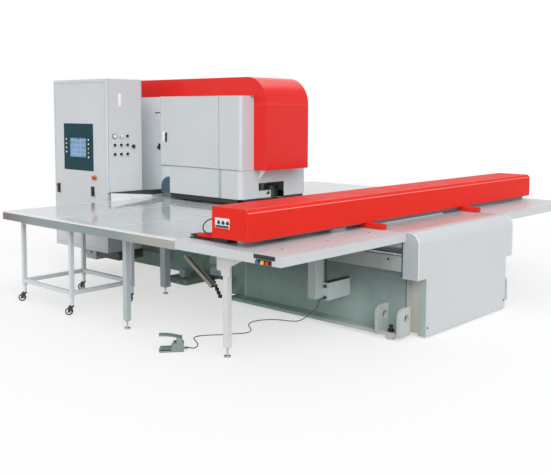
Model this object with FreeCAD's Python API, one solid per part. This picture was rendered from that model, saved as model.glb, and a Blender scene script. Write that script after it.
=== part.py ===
import FreeCAD, Part

import math
import os

# A floor-standing turret punch press, in millimetres. X runs along the crossrail, Y from the loading side to
# the rear, Z up. The origin is on the floor below the punch axis.

V = FreeCAD.Vector
X, Y, Z = V(1, 0, 0), V(0, 1, 0), V(0, 0, 1)

# ---- driving dimensions ----
TOUCH_GAP = 0.3            # air left between faces that slide past each other
FIT = 0.06                 # radial clearance of shafts in bores
SEAM = 0.8                 # joint between neighbouring table plates
SINK = 2.0                 # how far a stud starts inside what it is fused to
BEND_SHARE = 0.45          # the part of a cord's shorter run that a bend takes up
BASE_HALF = 840.0          # the wide front base, just inside the gaps between the tables

# tables
TABLE_TOP = 950.0
TABLE_HALF = 2520.0
TABLE_FRONT = -2580.0
STRIP_BACK = -1410.0       # joint between the front strip and the rear tables
TABLE_SEAMS = (-440.0, 470.0)
TABLE_BACK = 1340.0
PLATE = 12.0
APRON = 85.0
STRIP_APRON = 78.0
SHEET = 3.0
SLOT_X = BASE_HALF + 25.0  # the crossrail's feet run in the gaps here
SLOT = 22.0
WELL_GAP = 20.0            # air round the lower turret in the centre table
CENTRE_PLATE = 20.0
TUBE = 50.0
TUBE_WALL = 4.0

# base
BASE_FRONT = -2560.0
BASE_STEP = -550.0         # the wide front base ends here
REAR_HALF = 349.0
BASE_BACK = 2180.0
FLOOR_GAP = 35.0
FLANGE = 30.0
FLANGE_HALF = BASE_HALF + 150.0
BASE_TOP = 850.0
REAR_TOP = 760.0
WALL = 30.0
LEDGE_TOP = 735.0
LEDGE = 135.0
LEDGE_OUT = 60.0
LUG_YS = (-2360.0, -2590.0)
LUG_T = 30.0
LUG_TOP = 290.0
LUG_HOLE_R = 35.0
LUG_HOLE_Z = 194.0
LUG_HOLE_X = 55.0
LUG_REACH = 170.0
LUG_ROUND = 80.0
JACK_R = 45.0
JACK_BOLT_R = 15.0
JACK_YS = (-2475.0,)
PAD_R = 90.0               # levelling pads below the boxes
PAD_X = BASE_HALF - 140.0
PAD_SPOTS = ((0.0, 0.0), (0.0, 1000.0), (0.0, 2080.0), (-PAD_X, -1500.0), (PAD_X, -1500.0),
             (-PAD_X, -650.0), (PAD_X, -650.0))
SIDE_LEDGE = (1200.0, 2100.0)
SIDE_LEDGE_Z = (165.0, 225.0)
SIDE_LEDGE_OUT = 45.0
FLANGE_BACK = -450.0
WING_HALF = BASE_HALF - 70.0  # boxes beside the rear base, set back from the front box's walls
WING_BACK = -270.0
RIB_W = 40.0
RIB_FRONT_END = -160.0
RIB_REAR_GAP = 70.0
OUTRIGGER_X = 850.0
OUTRIGGER_Y = (360.0, 700.0)
OUTRIGGER_TOP = 100.0
ARM_T = 50.0               # arms that carry the side tables
ARM_Y = ((-2540.0, -2200.0), (-640.0, -560.0))
ARM_OUT = 10.0             # how far they reach past the tables' inner tubes

# front cover
COVER_FRONT = -2710.0
COVER_HALF = BASE_HALF + 50.0
COVER_SPLIT = 540.0
COVER_LOW_HALF = BASE_HALF - 90.0
COVER_DEPTH = 170.0
COVER_LOW_DEPTH = 80.0
COVER_ROUND = 100.0
COVER_FOOT = 15.0

# C-frame and cowl
COLUMN_FRONT = 1360.0
ARM_FRONT = -240.0
ARM_BOTTOM = 1480.0
ARM_ROUND = 230.0
THROAT_ROUND = 120.0
ARM_SOLID = 60.0           # solid metal in the arm behind the ram's bearing
COWL_HALF = 352.0
COWL_FRONT = -408.0
COWL_TOP = 2380.0
COWL_BAND = 210.0
COWL_ROUND = 300.0
HOOD_BOTTOM = 1350.0

# turret covers
TURRET_R = 530.0
HOOD_HALF = TURRET_R + 30.0
HOOD_FRONT = -216.0
HOOD_BACK = 1140.0
HOOD_ROUND = 35.0
HOOD_NOTCH = 90.0
SKIRT_BACK = 980.0
SKIRT_BOTTOM = 1026.0
SKIRT_ROUND = 60.0
SKIRT_INSET = 6.0
CHEEK = ((980.0, 1217.0), (1090.0, 1186.0), (1140.0, 1115.0))
WINDOW_X = (-266.0, 157.0)
WINDOW_TOP = 1195.0
TAB_W = 200.0
TAB_H = 80.0
TAB_HOLE = (140.0, 45.0)
TAB_HOLE_R = 14.0
DOOR_FRONT = 132.0
DOOR_T = 25.0
DOOR_GAP = 8.0
DOOR_PIN_R = 6.0
DOOR_AIR = 1.0
DOOR_BOSS = 60.0
DOOR_STUDS = (5.0, 3.0)    # how far the lower and the upper pin stand out
SILL_T = 6.0
SILL_W = 60.0
SILL_LEAD = 40.0           # how far the sill starts before the door
POST_W = 40.0
LATCH_Y = 1029.0
LATCH_Z = 1722.0
LATCH_R = 8.0
LATCH_IN = 22.0
LATCH_COLLAR_R = 14.0
LATCH_PLATE = (6.0, 40.0, 80.0)  # thickness, half width, half height
LEVER_GAP = 6.0
LEVER_T = 10.0
LEVER_HALF = 12.0
LEVER_DOWN = 90.0
LEVER_UP = 22.0
LEVER_ROUND = 10.0

# turrets
STATIONS = 12
PITCH_R = TURRET_R - 70.0
UPPER_BOTTOM = 985.0
UPPER_T = 110.0
LOWER_TOP = 935.0
LOWER_T = 85.0
HUB_R = 120.0
HUB_UP = 100.0             # the upper turret's hub
HUB_DOWN = 25.0            # the lower turret's hub
SHAFT_R = 70.0
BEARING_R = 130.0
BEARING_H = 60.0
TOOL_RS = (30.0, 40.0, 30.0, 52.0)
TOOL_HEAD = 8.0
TOOL_SEAT = 0.05           # radial clearance of tools in the turrets
TOOL_TIP_IN = 3.0
TOOL_BODY = 60.0
HEAD_AIR = 2.0
NECK = 5.0
DIE_RIM = 5.0
TOOL_TOP = 1160.0
TIP_R = 14.0
STROKE = 40.0
STRIKER_R = 45.0
STRIKER_FOOT_R = 58.0
CYLINDER_R = 95.0
CYLINDER_H = 150.0
CYLINDER_LIP = 35.0
CYLINDER_LIP_T = 25.0
STRIKER_FOOT_T = 35.0
STRIKER_IN = 40.0

# crossrail
RAIL_HALF = TABLE_HALF - 90.0
RAIL_FRONT = -2160.0
RAIL_BACK = -1760.0
RAIL_BOTTOM = 1000.0
RAIL_TOP = 1250.0
RAIL_CHAMFER = 28.0
RAIL_LIP = 60.0            # the cover's short lip at the back
BEAM_HALF = RAIL_HALF - 50.0
BEAM_FRONT = -2120.0
BEAM_BACK = -1920.0
BEAM_BOTTOM = 1030.0
BEAM_WALL = 10.0
FOOT_FRONT = -2340.0
FOOT_H = 45.0
FOOT_W = 50.0
WEB_T = 10.0
END_PLATE_Y = (201.0, 362.0)
END_PLATE_Z = (83.0, 163.0)
END_BUTTON_R = 13.0
END_BUTTON_T = 11.0
END_BUTTON_STEP = 50.0
END_BUTTON_SHIFT = (-25.0, 7.0)
WEB_FRONT = -2110.0
GUIDE = 20.0               # linear rails, square
SHOE_W = 40.0
SHOE_UP = 25.0
SHOE_AIR = 3.0
SHOE_L = 120.0             # the carriage's shoes
SHOE_INSET = 30.0
SHOE_SIDE = 15.0
SHOE_COVER = 20.0
Y_GUIDE_INSET = 10.0
X_GUIDE_INSET = 20.0
X_GUIDE_ZS = (1060.0, 1150.0)
CARRIAGE_X = 720.0 - RAIL_HALF  # middle of the carriage, which stands at its left end
CARRIAGE_HALF = 660.0
CARRIAGE_BACK = BEAM_BACK + 60.0
CARRIAGE_Z = (RAIL_BOTTOM + 5.0, RAIL_TOP - 70.0)
HANGER_T = 10.0
CLAMP_XS = (CARRIAGE_X - 600.0, CARRIAGE_X, CARRIAGE_X + 600.0)
CLAMP_TIP = -1420.0
CLAMP_PIN_Y = -1740.0
CLAMP_PIN_Z = 1000.0
CLAMP_PIN_R = 8.0
CLAMP_MOUTH = 8.0
CLAMP_AIR = 3.0            # below the lower jaw
CLAMP_FLOOR = 10.0
CLAMP_CHEEK = 12.0
CLAMP_CHEEK_BACK = 30.0
CLAMP_CHEEK_UP = 20.0
JAW_W = 90.0
JAW_SIDE_AIR = 1.0
JAW_T = 12.0
JAW_HEEL = 20.0
JAW_BELOW = 14.0           # of the pin
JAW_ABOVE = 18.0
JAW_BENDS = (40.0, 45.0)   # where the lower and the upper edge turn level

# the first clamp's hose, from its start on the carriage's back face
CLAMP_HOSE_X = -52.0
CLAMP_HOSE_Z = 1150.0
CLAMP_HOSE_START = V(CLAMP_XS[0] + CLAMP_HOSE_X, CARRIAGE_BACK, CLAMP_HOSE_Z)
CLAMP_HOSE_STEPS = (
    (0, 0, 0), (-3, 50, 2), (-14, 98, 0), (-34, 146, -10), (-54, 184, -32), (-66, 206, -64), (-64, 212, -96),
    (-46, 210, -123), (-20, 196, -137), (-4, 174, -140), (0, 150, -140),
)

# cabinet
CAB_X = (-1170.0, -675.0)
CAB_Y = (1350.0, 2470.0)
CAB_Z = (320.0, 2370.0)
CAB_SILL = 1040.0
CAB_RECESS = 30.0
CAB_BRACKET_Y = (1800.0, 2100.0)
CAB_BRACKET_ZS = ((400.0, 520.0), (2070.0, 2120.0))
PANEL_T = 12.0
PANEL_GAP = 3.0
PANEL_MARGIN = 40.0
PANEL_SHIFT = 20.0
PANEL_LATCH = (14.0, 36.0, 60.0)  # depth, half width, half height
CONSOLE_OUT = 4.0
SCREEN_IN = 6.0
SCREEN_OUT = 1.0
SCREEN_GAP = 0.5
CONSOLE_Y = (1646.0, 2255.0)
CONSOLE_Z = (1278.0, 1842.0)
SCREEN_Y = (1789.0, 2126.0)
SCREEN_Z = (1439.0, 1665.0)
TOUCH_KEY_YS = (SCREEN_Y[1] + 65.0, SCREEN_Y[0] - 60.0)
TOUCH_KEY_R = 11.0
TOUCH_KEY_T = 6.0
TOUCH_KEY_STEP = 52.0
TOUCH_KEY_DROP = 15.0
GAUGE = (27.0, 14.0)       # radius, depth
PANEL_BUTTON = (17.0, 20.0)
BUTTON_XS = (-1083.0, -992.0, -901.0)
BUTTON_ZS = (1702.0, 1597.0, 1489.0)
STOP_PLACE = (1616.0, 1202.0)
KEY_PLACE = (-811.0, 1575.0)
LATCH_PLACES = ((2368.0, 1038.0), (1646.0, 1038.0))
BUTTON_STEM_R = 9.0
BUTTON_TRAVEL = 4.0
COLLAR_R = 32.0            # yellow plate behind the stop button
COLLAR_T = 4.0
KEY_COLLAR = 10.0
KEY_R = 14.0
KEY_GRIP = (7.0, 26.0, 22.0)  # half width, depth, half height
STOP_CAP = (12.0, 22.0, 16.0)  # bare stem, radius, thickness
STEM_IN = 4.0              # how deep a button's stem stands in its bore at rest

# button station on the left apron
STATION_Y = (-2525.0, -2310.0)
STATION_Z = (914.0, 946.0)
STATION_T = 4.0
STRIP_Y = (-2490.0, -2338.0)
STRIP_Z = (876.0, 910.0)
STRIP_T = 10.0
STATION_BUTTONS = (-2362.0, -2414.0, -2465.0)
STATION_CAP = (3.0, 15.0, 12.0)

# legs, cart
LEG_TOP = TABLE_TOP - APRON
LEG_SPOTS = ((190.0 - TABLE_HALF, -510.0, 50.0), (220.0 - TABLE_HALF, -1800.0, 50.0), (-1170.0, 337.0, 80.0))
LEG_FOOT = 80.0
LEG_CAP = 8.0
LEG_SOLE = 6.0
LEG_SCREW_R = 8.0
LEG_SCREW_IN = 30.0
LEG_NUT_R = 15.0
LEG_NUT_H = 14.0
LEG_DISC_R = 28.0
LEG_DISC_H = 12.0
HEAD_PLATE = 220.0
GUSSET_T = 8.0
GUSSET = ((90.0, 0.0), (90.0, 150.0), (40.0, 150.0), (40.0, 190.0), (-60.0, 190.0), (-60.0, 110.0),
          (-190.0, 45.0), (-190.0, 0.0))  # behind the leg, below its head
CART_INSETS = (130.0, 860.0)
CART_XS = (CART_INSETS[0] - TABLE_HALF, CART_INSETS[1] - TABLE_HALF)
CART_YS = (290.0, 1160.0)
CART_TUBE = 38.0
CART_WALL = 3.0
CART_SOLE = 5.0
CART_RAIL = 200.0
CART_FOOT = 170.0
CASTOR_R = 37.5
CASTOR_W = 24.0
CASTOR_TRAIL = 30.0
CASTOR_TURN = 222.0        # the castors' swing about the vertical, from trailing forward
SWIVEL_R = 8.0
AXLE_R = 6.0
FORK_T = 3.0
FORK_HEAD = 96.0
FORK_AIR = 2.0
FORK_EDGE = 14.0
FORK_AHEAD = 18.0
FORK_BELOW = 10.0
CROWN_R = 20.0
CROWN_T = 12.0

# slug chute beside the rear base
CHUTE_X = -1000.0
CHUTE_ENDS = ((200.0, 405.0), (-235.0, 130.0))
CHUTE_START, CHUTE_END = [V(CHUTE_X, y, z) for y, z in CHUTE_ENDS]
CHUTE_W = 60.0
CHUTE_H = 40.0
CHUTE_WALL = 4.0
GEARBOX_X = -700.0
GEARBOX_Y = -50.0
GEARBOX_L = 180.0
GEARBOX_Z = (176.0, 700.0)
RESERVOIR_X = (-770.0, -670.0)
RESERVOIR_Y = (480.0, 570.0)
RESERVOIR_H = 95.0
STAY = 20.0
STAY_UP = 5.0

# pedal
PEDAL_X = -2420.0
PEDAL_Y = -1400.0
PEDAL_HEEL = V(PEDAL_X, PEDAL_Y, 0)
PEDAL_ANGLE = 140.0        # the way the pedal's toe points, from +X
PEDAL_L = 206.0
PEDAL_W = 100.0
PEDAL_PIN = V(34, 0, 100)
PEDAL_EXIT = V(-18, 0, 22)
PEDAL_PIN_R = 6.0
PEDAL_GLAND_R = 9.0
SOLE_T = 14.0
SOLE_ROUND = 20.0
GUARD_START = 100.0
GUARD_END = 8.0
GUARD_INSET = 4.0
GUARD_Z = (26.0, 32.0)
HEEL_OUTLINE = ((0.0, SOLE_T), (104.0, SOLE_T), (104.0, 40.0), (84.0, 75.0), (0.0, 75.0))
PIN_CHEEK_X = (12.0, 62.0)
PIN_CHEEK_T = 8.0
PIN_CHEEK_Z = (75.0, 118.0)
TREADLE_AIR = 1.0
TREADLE_T = 9.0
TREADLE_HUB_R = 16.0
TREADLE_RISE = 12.0        # of the plate's underside over the pin
TREADLE_CROWN = (0.6, 132.0)  # share of the length, height
TREADLE_TOE = 136.0
CORD_D = 8.0
CORD_LEAD = 32.0
CABLE_D = 14.0
HOSE_D = 10.0

# junction box on the base's wall
BOX_X = (-1170.0, -BASE_HALF)
BOX_Y = (-1940.0, -1882.0)
BOX_Z = (293.0, 453.0)
DUCT_X = (-1279.0, -1160.0)
DUCT_Y = (BOX_Y[1], -1794.0)
DUCT_LOW = 313.0
GLAND_R = 14.0
GLAND_L = 20.0
GLAND_ZS = (318.0, 423.0)
CABLE_X = -1150.0
CABLE_STEPS = ((0, 0, 0), (0, 0, -70), (-12, -3, -140), (-22, -3, -215), (-14, 0, -290), (-12, 0, -345))

# the pedal's cord, from its second point on the floor to the junction box
CORD_ROUTE = (
    (-2340, -1436, 6), (-2275, -1412, 4), (-2215, -1345, 4), (-2172, -1268, 4), (-2130, -1190, 4),
    (-2055, -1172, 4), (-1970, -1228, 4), (-1885, -1302, 4), (-1800, -1352, 4), (-1722, -1416, 4),
    (-1640, -1422, 4), (-1568, -1360, 4), (-1522, -1282, 4), (-1455, -1215, 4), (-1360, -1184, 4),
    (-1262, -1214, 4), (-1182, -1280, 4), (-1138, -1360, 4), (-1112, -1450, 4), (-1118, -1540, 22),
    (-1140, -1625, 62), (-1180, -1700, 110), (-1208, -1770, 158), (-1236, -1832, 196), (-1264, -1888, 232),
    (-1272, -1911, 280), (-1240, -1911, 318), (-1190, -1911, 318),
)


# ---- helpers ----
def block(x, y, z):
    """A box from pairs of limits."""
    return Part.makeBox(x[1] - x[0], y[1] - y[0], z[1] - z[0], V(x[0], y[0], z[0]))


def rod(radius, start, end):
    return Part.makeCylinder(radius, (end - start).Length, start, end - start)


def tube(outer, inner, start, end):
    return rod(outer, start, end).cut(rod(inner, start, end))


def fuse(*shapes):
    return shapes[0].multiFuse(list(shapes[1:])).removeSplitter()


def cut(shape, *tools):
    return shape.cut(list(tools))


def group(*shapes):
    return Part.makeCompound(list(shapes))


def flip(shape):
    """The mirror image on the other side of the machine's centre plane."""
    return shape.mirror(V(0, 0, 0), X)


def pair(shape):
    return group(shape, flip(shape))


def face_of(points):
    return Part.Face(Part.makePolygon([*points, points[0]]))


def side_plate(profile, x):
    """Extrudes a profile of (y, z) points over the limits x."""
    return face_of([V(x[0], y, z) for y, z in profile]).extrude(V(x[1] - x[0], 0, 0))


def hex_nut(radius, spot, height):
    """A hexagonal prism standing on a spot; the radius reaches its corners."""
    corners = [spot + V(math.cos(a), math.sin(a), 0) * radius for a in (n * math.pi / 3 for n in range(6))]
    return face_of(corners).extrude(Z * height)


def edges_near(shape, direction, **at):
    """Straight edges along a direction whose middle has the given coordinates."""
    found = []
    for edge in shape.Edges:
        if edge.Curve.TypeId != "Part::GeomLine":
            continue
        run = edge.Vertexes[-1].Point - edge.Vertexes[0].Point
        middle = edge.CenterOfMass
        along = abs(run.normalize().dot(direction)) > 0.999
        if along and all(abs(getattr(middle, axis) - value) < 0.01 for axis, value in at.items()):
            found.append(edge)
    return found


def rounded(shape, radius, direction, **at):
    return shape.makeFillet(radius, edges_near(shape, direction, **at))


def bar(x, y, z, axis, wall=TUBE_WALL):
    """A rectangular tube that is open at its two ends along an axis."""
    limits = {"x": list(x), "y": list(y), "z": list(z)}
    for name, pair_of in limits.items():
        step = -1 if name == axis else wall
        pair_of[0] += step
        pair_of[1] -= step
    return block(x, y, z).cut(block(limits["x"], limits["y"], limits["z"]))


def hollow(x, y, z, wall):
    """A closed welded box with a sealed space inside."""
    inner = [(limits[0] + wall, limits[1] - wall) for limits in (x, y, z)]
    return block(x, y, z).cut(block(*inner))


def tube_path(points, diameter):
    """A cord of straight runs joined by tangent arcs through hand-chosen points."""
    edges, start, radii = [], points[0], []
    for before, corner, after in zip(points, points[1:], points[2:]):
        back, ahead = before - corner, after - corner
        turn = math.pi - back.getAngle(ahead)
        reach = BEND_SHARE * min(back.Length, ahead.Length)
        radii.append(reach / math.tan(turn / 2))
        back.normalize()
        ahead.normalize()
        enter, leave = corner + back * reach, corner + ahead * reach
        middle_way = (back + ahead).normalize()
        to_centre = math.hypot(radii[-1], reach)
        middle = corner + middle_way * (to_centre - radii[-1])
        edges.append(Part.LineSegment(start, enter).toShape())
        edges.append(Part.Arc(enter, middle, leave).toShape())
        start = leave
    edges.append(Part.LineSegment(start, points[-1]).toShape())
    path = Part.Wire(edges)
    ring = Part.Wire(Part.makeCircle(diameter / 2, points[0], points[1] - points[0]))
    solid = path.makePipeShell([ring], True, False)
    ratio = solid.Volume / (math.pi * diameter ** 2 / 4 * path.Length)
    print("cord length %.0f, radii %s, volume ratio %.4f" % (path.Length, [round(r) for r in radii], ratio))
    return solid


def save(name, shape):
    if not shape.isValid():
        print("INVALID", name)
    shape.exportStep("parts/%s.step" % name)


# ---- base ----
def lug(y):
    """A lifting plate with a hole and a rounded outer top corner, notched over the flange."""
    outer = BASE_HALF + LUG_REACH
    plate = block((BASE_HALF, outer), (y - LUG_T / 2, y + LUG_T / 2), (FLOOR_GAP, LUG_TOP))
    plate = rounded(plate, LUG_ROUND, Y, x=outer, z=LUG_TOP)
    hole = V(BASE_HALF + LUG_HOLE_X, y - LUG_T, LUG_HOLE_Z)
    return plate.cut(rod(LUG_HOLE_R, hole, hole + Y * (2 * LUG_T)))


def jack_spots():
    x = FLANGE_HALF - JACK_R
    return [V(side * x, y, 0) for side in (-1, 1) for y in JACK_YS]


def table_arms():
    """Arms from the base's side wall up to the side tables, clear of the crossrail feet's way."""
    inner, outer = BASE_HALF, SLOT_X + SLOT / 2 + TUBE + ARM_OUT
    tops = (TABLE_TOP - STRIP_APRON, TABLE_TOP - APRON)
    return [block((inner, outer), y, (top - ARM_T, top)) for y, top in zip(ARM_Y, tops)]


def ribs():
    """Bars between the base and the centre table, clear of the lower turret's well."""
    under = TABLE_TOP - CENTRE_PLATE
    front = (COVER_FRONT + COVER_DEPTH + RIB_W, BASE_STEP - RIB_W)
    beams = [block((x, x + RIB_W), front, (BASE_TOP, under)) for x in (RIB_W / 2 - BASE_HALF, -RIB_W / 2)]
    for y in ((BASE_STEP, RIB_FRONT_END), (PITCH_R + TURRET_R + RIB_REAR_GAP, TABLE_BACK)):
        beams.append(block((-REAR_HALF, RIB_W - REAR_HALF), y, (REAR_TOP, under)))
    return [beams[1], beams[0], flip(beams[0]), *beams[2:], *[flip(beam) for beam in beams[2:]]]


def base_frame():
    """Welded base: a wide front box, a narrow rear one, and the plates and bars that are welded to them."""
    front = hollow((-BASE_HALF, BASE_HALF), (BASE_FRONT, BASE_STEP), (FLOOR_GAP, BASE_TOP), WALL)
    rear = hollow((-REAR_HALF, REAR_HALF), (BASE_STEP, BASE_BACK), (FLOOR_GAP, REAR_TOP), WALL)
    plinth = block((-COVER_LOW_HALF, COVER_LOW_HALF), (COVER_FRONT + COVER_LOW_DEPTH, BASE_FRONT),
                   (FLOOR_GAP, COVER_SPLIT))
    flange = block((BASE_HALF, FLANGE_HALF), (LUG_YS[1] - LUG_T / 2, FLANGE_BACK),
                   (FLOOR_GAP, FLOOR_GAP + FLANGE))
    for spot in jack_spots():
        flange = flange.cut(rod(JACK_BOLT_R + 1, spot, spot + Z * (FLOOR_GAP + FLANGE + 1)))
    wing = hollow((REAR_HALF, WING_HALF), (BASE_STEP, WING_BACK), (FLOOR_GAP, BASE_TOP), WALL)
    ledge = block((BASE_HALF, BASE_HALF + LEDGE_OUT), (COVER_FRONT + COVER_DEPTH, BASE_STEP),
                  (LEDGE_TOP - LEDGE, LEDGE_TOP))
    side_ledge = block((REAR_HALF, REAR_HALF + SIDE_LEDGE_OUT), SIDE_LEDGE, SIDE_LEDGE_Z)
    outrigger = block((REAR_HALF, OUTRIGGER_X), OUTRIGGER_Y, (FLOOR_GAP, OUTRIGGER_TOP))
    side = [flange, wing, ledge, side_ledge, outrigger, *[lug(y).cut(flange) for y in LUG_YS], *table_arms()]
    return group(front, rear, plinth, *ribs(), *side, *[flip(piece) for piece in side])


def levelling_feet():
    """Jacks under the base and screw feet under the legs."""
    top = FLOOR_GAP + FLANGE
    jacks = []
    for spot in jack_spots():
        nut = hex_nut(JACK_BOLT_R * 1.9, spot + Z * top, JACK_BOLT_R * 1.6)
        bolt = rod(JACK_BOLT_R, spot, spot + Z * (top + JACK_BOLT_R * 3))
        jacks.append(fuse(hex_nut(JACK_R, spot, FLOOR_GAP), bolt, nut))
    pads = [rod(PAD_R, V(x, y, 0), V(x, y, FLOOR_GAP)) for x, y in PAD_SPOTS]
    return group(*jacks, *pads, *leg_feet())


def front_cover():
    """Folded sheet cover: a wide hood on a narrower lower part, open towards the base."""
    top = block((-COVER_HALF, COVER_HALF), (COVER_FRONT, COVER_FRONT + COVER_DEPTH), (COVER_SPLIT, TABLE_TOP))
    top = rounded(top, COVER_ROUND, X, y=COVER_FRONT, z=TABLE_TOP)
    low = block((-COVER_LOW_HALF, COVER_LOW_HALF), (COVER_FRONT, COVER_FRONT + COVER_LOW_DEPTH),
                (COVER_FOOT, COVER_SPLIT))
    inner_half = COVER_HALF - SHEET
    inner = block((-inner_half, inner_half), (COVER_FRONT + SHEET, BASE_FRONT + COVER_DEPTH),
                  (COVER_SPLIT + SHEET, TABLE_TOP - SHEET))
    inner = rounded(inner, COVER_ROUND - SHEET, X, y=COVER_FRONT + SHEET, z=TABLE_TOP - SHEET)
    low_half = COVER_LOW_HALF - SHEET
    low_inner = block((-low_half, low_half), (COVER_FRONT + SHEET, COVER_FRONT + COVER_DEPTH + 1),
                      (COVER_FOOT - 1, COVER_SPLIT + SHEET))
    base = block((-BASE_HALF, BASE_HALF), (BASE_FRONT, 0), (0, BASE_TOP))
    table = block((SLOT_X + SLOT / 2 - 1, COVER_HALF + 1), (TABLE_FRONT - 1, 0),
                  (TABLE_TOP - STRIP_APRON - 1, TABLE_TOP + 1))
    return cut(fuse(top, low), inner, low_inner, base, table, flip(table))


# ---- tables ----
def turret_centre(z=0.0):
    return V(0, PITCH_R, z)


def centre_table():
    half = SLOT_X - SLOT / 2
    plate = block((-half, half), (COVER_FRONT + COVER_DEPTH, TABLE_BACK),
                  (TABLE_TOP - CENTRE_PLATE, TABLE_TOP))
    return plate.cut(rod(TURRET_R + WELL_GAP, turret_centre(), turret_centre(TABLE_TOP + 1)))


def front_tables():
    """Boxed folded panels with a light skirt, left and right."""
    inner = SLOT_X + SLOT / 2
    return pair(hollow((-TABLE_HALF, -inner), (TABLE_FRONT, STRIP_BACK),
                       (TABLE_TOP - STRIP_APRON, TABLE_TOP), SHEET))


def rear_strips():
    lines = (STRIP_BACK, *TABLE_SEAMS, TABLE_BACK)
    return list(zip(lines, lines[1:]))


def rear_table_plates():
    inner, seam = SLOT_X + SLOT / 2, SEAM / 2
    plates = [block((-TABLE_HALF, -inner), (low + seam, high - seam), (TABLE_TOP - PLATE, TABLE_TOP))
              for low, high in rear_strips()]
    return pair(group(*plates))


def rear_table_frames():
    inner = SLOT_X + SLOT / 2
    z = (TABLE_TOP - APRON, TABLE_TOP - PLATE)
    ends = (STRIP_BACK + SEAM / 2, TABLE_BACK)
    bars = [bar((-TABLE_HALF, -TABLE_HALF + TUBE), ends, z, "y"), bar((-inner - TUBE, -inner), ends, z, "y")]
    middles = (ends[0] + TUBE / 2, *TABLE_SEAMS, TABLE_BACK - TUBE / 2)
    for y in middles:
        bars.append(bar((-TABLE_HALF + TUBE, -inner - TUBE), (y - TUBE / 2, y + TUBE / 2), z, "x"))
    return pair(group(*bars))


def leg(x, y, width):
    top = LEG_TOP if y > STRIP_BACK else TABLE_TOP - STRIP_APRON
    half, plate = width / 2, HEAD_PLATE / 2
    post = bar((x - half, x + half), (y - half, y + half), (LEG_FOOT, top - LEG_CAP), "z", TUBE_WALL)
    head = block((x - plate, x + plate), (y - plate, y + plate), (top - LEG_CAP, top))
    foot = block((x - half, x + half), (y - half, y + half), (LEG_FOOT, LEG_FOOT + LEG_SOLE))
    foot = foot.cut(rod(LEG_SCREW_R + FIT, V(x, y, 0), V(x, y, LEG_FOOT + LEG_SOLE + 1)))
    return fuse(post, head, foot)


def gusset(x, y, width, top):
    """The bracket plate at the head of a front leg, with its longer arm towards the front."""
    outer = x - width / 2
    return side_plate([(y + behind, top - down) for behind, down in GUSSET], (outer - GUSSET_T, outer))


def table_legs():
    legs = []
    for x, y, width in LEG_SPOTS:
        post = leg(x, y, width)
        if y < STRIP_BACK:
            post = fuse(post, gusset(x, y, width, TABLE_TOP - STRIP_APRON - LEG_CAP))
        legs += [post, flip(post)]
    return group(*legs)


def leg_feet():
    feet = []
    for x, y, _ in LEG_SPOTS:
        for side in (1, -1):
            spot = V(side * x, y, 0)
            screw = rod(LEG_SCREW_R, spot, spot + Z * (LEG_FOOT + LEG_SCREW_IN))
            nut = hex_nut(LEG_NUT_R, spot + Z * (LEG_FOOT - LEG_NUT_H), LEG_NUT_H)
            feet.append(fuse(rod(LEG_DISC_R, spot, spot + Z * LEG_DISC_H), screw, nut))
    return feet


# ---- C-frame, cowl and turret covers ----
def c_frame():
    """Welded column and arm with sealed spaces inside."""
    top = COWL_TOP - SHEET
    profile = [(COLUMN_FRONT, REAR_TOP), (BASE_BACK, REAR_TOP), (BASE_BACK, top), (ARM_FRONT, top),
               (ARM_FRONT, ARM_BOTTOM), (COLUMN_FRONT, ARM_BOTTOM)]
    half = COWL_HALF - SHEET
    frame = side_plate(profile, (-half, half))
    frame = rounded(frame, ARM_ROUND, X, y=ARM_FRONT, z=top)
    frame = rounded(frame, THROAT_ROUND, X, y=COLUMN_FRONT, z=ARM_BOTTOM)
    inside = half - WALL
    column_room = block((-inside, inside), (COLUMN_FRONT + 3 * WALL, BASE_BACK - WALL),
                        (REAR_TOP + WALL, top - WALL))
    arm_room = block((-inside, inside), (BEARING_R + ARM_SOLID, COLUMN_FRONT + 2 * WALL),
                     (ARM_BOTTOM + 2 * WALL, top - WALL))
    socket = rod(SHAFT_R + FIT, turret_centre(ARM_BOTTOM - 1), turret_centre(ARM_BOTTOM + WALL))
    bore = rod(STRIKER_R + FIT, V(0, 0, ARM_BOTTOM - 1), V(0, 0, ARM_BOTTOM + 2 * STROKE))
    return cut(frame, column_room, arm_room, socket, bore)


def cowl_profile(inset):
    """Side outline of the cowl as a face, pulled in by the sheet's thickness."""
    front, top = COWL_FRONT + inset, COWL_TOP - inset
    radius = COWL_ROUND - inset
    centre = (front + radius, top - radius)
    slope = radius / math.sqrt(2)
    reach = 1 if inset else 0
    back, band = BASE_BACK + reach, COWL_TOP - COWL_BAND - reach
    seat, floor = HOOD_FRONT + reach, HOOD_BOTTOM + inset
    corners = ((back, band), (back, top), (centre[0], top), (centre[0] - slope, centre[1] + slope),
               (front, centre[1]), (front, floor), (seat, floor), (seat, band))
    p = [V(0, y, z) for y, z in corners]
    edges = [Part.LineSegment(p[0], p[1]), Part.LineSegment(p[1], p[2]), Part.Arc(p[2], p[3], p[4]),
             Part.LineSegment(p[4], p[5]), Part.LineSegment(p[5], p[6]), Part.LineSegment(p[6], p[7]),
             Part.LineSegment(p[7], p[0])]
    return Part.Face(Part.Wire([edge.toShape() for edge in edges]))


def nose_cowl():
    """Red sheet cowl over the arm: deep over the nose, a band behind it."""
    outer = cowl_profile(0).extrude(V(2 * COWL_HALF, 0, 0))
    outer.translate(V(-COWL_HALF, 0, 0))
    inner = cowl_profile(SHEET).extrude(V(2 * (COWL_HALF - SHEET), 0, 0))
    inner.translate(V(-COWL_HALF + SHEET, 0, 0))
    return outer.cut(inner)


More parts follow.
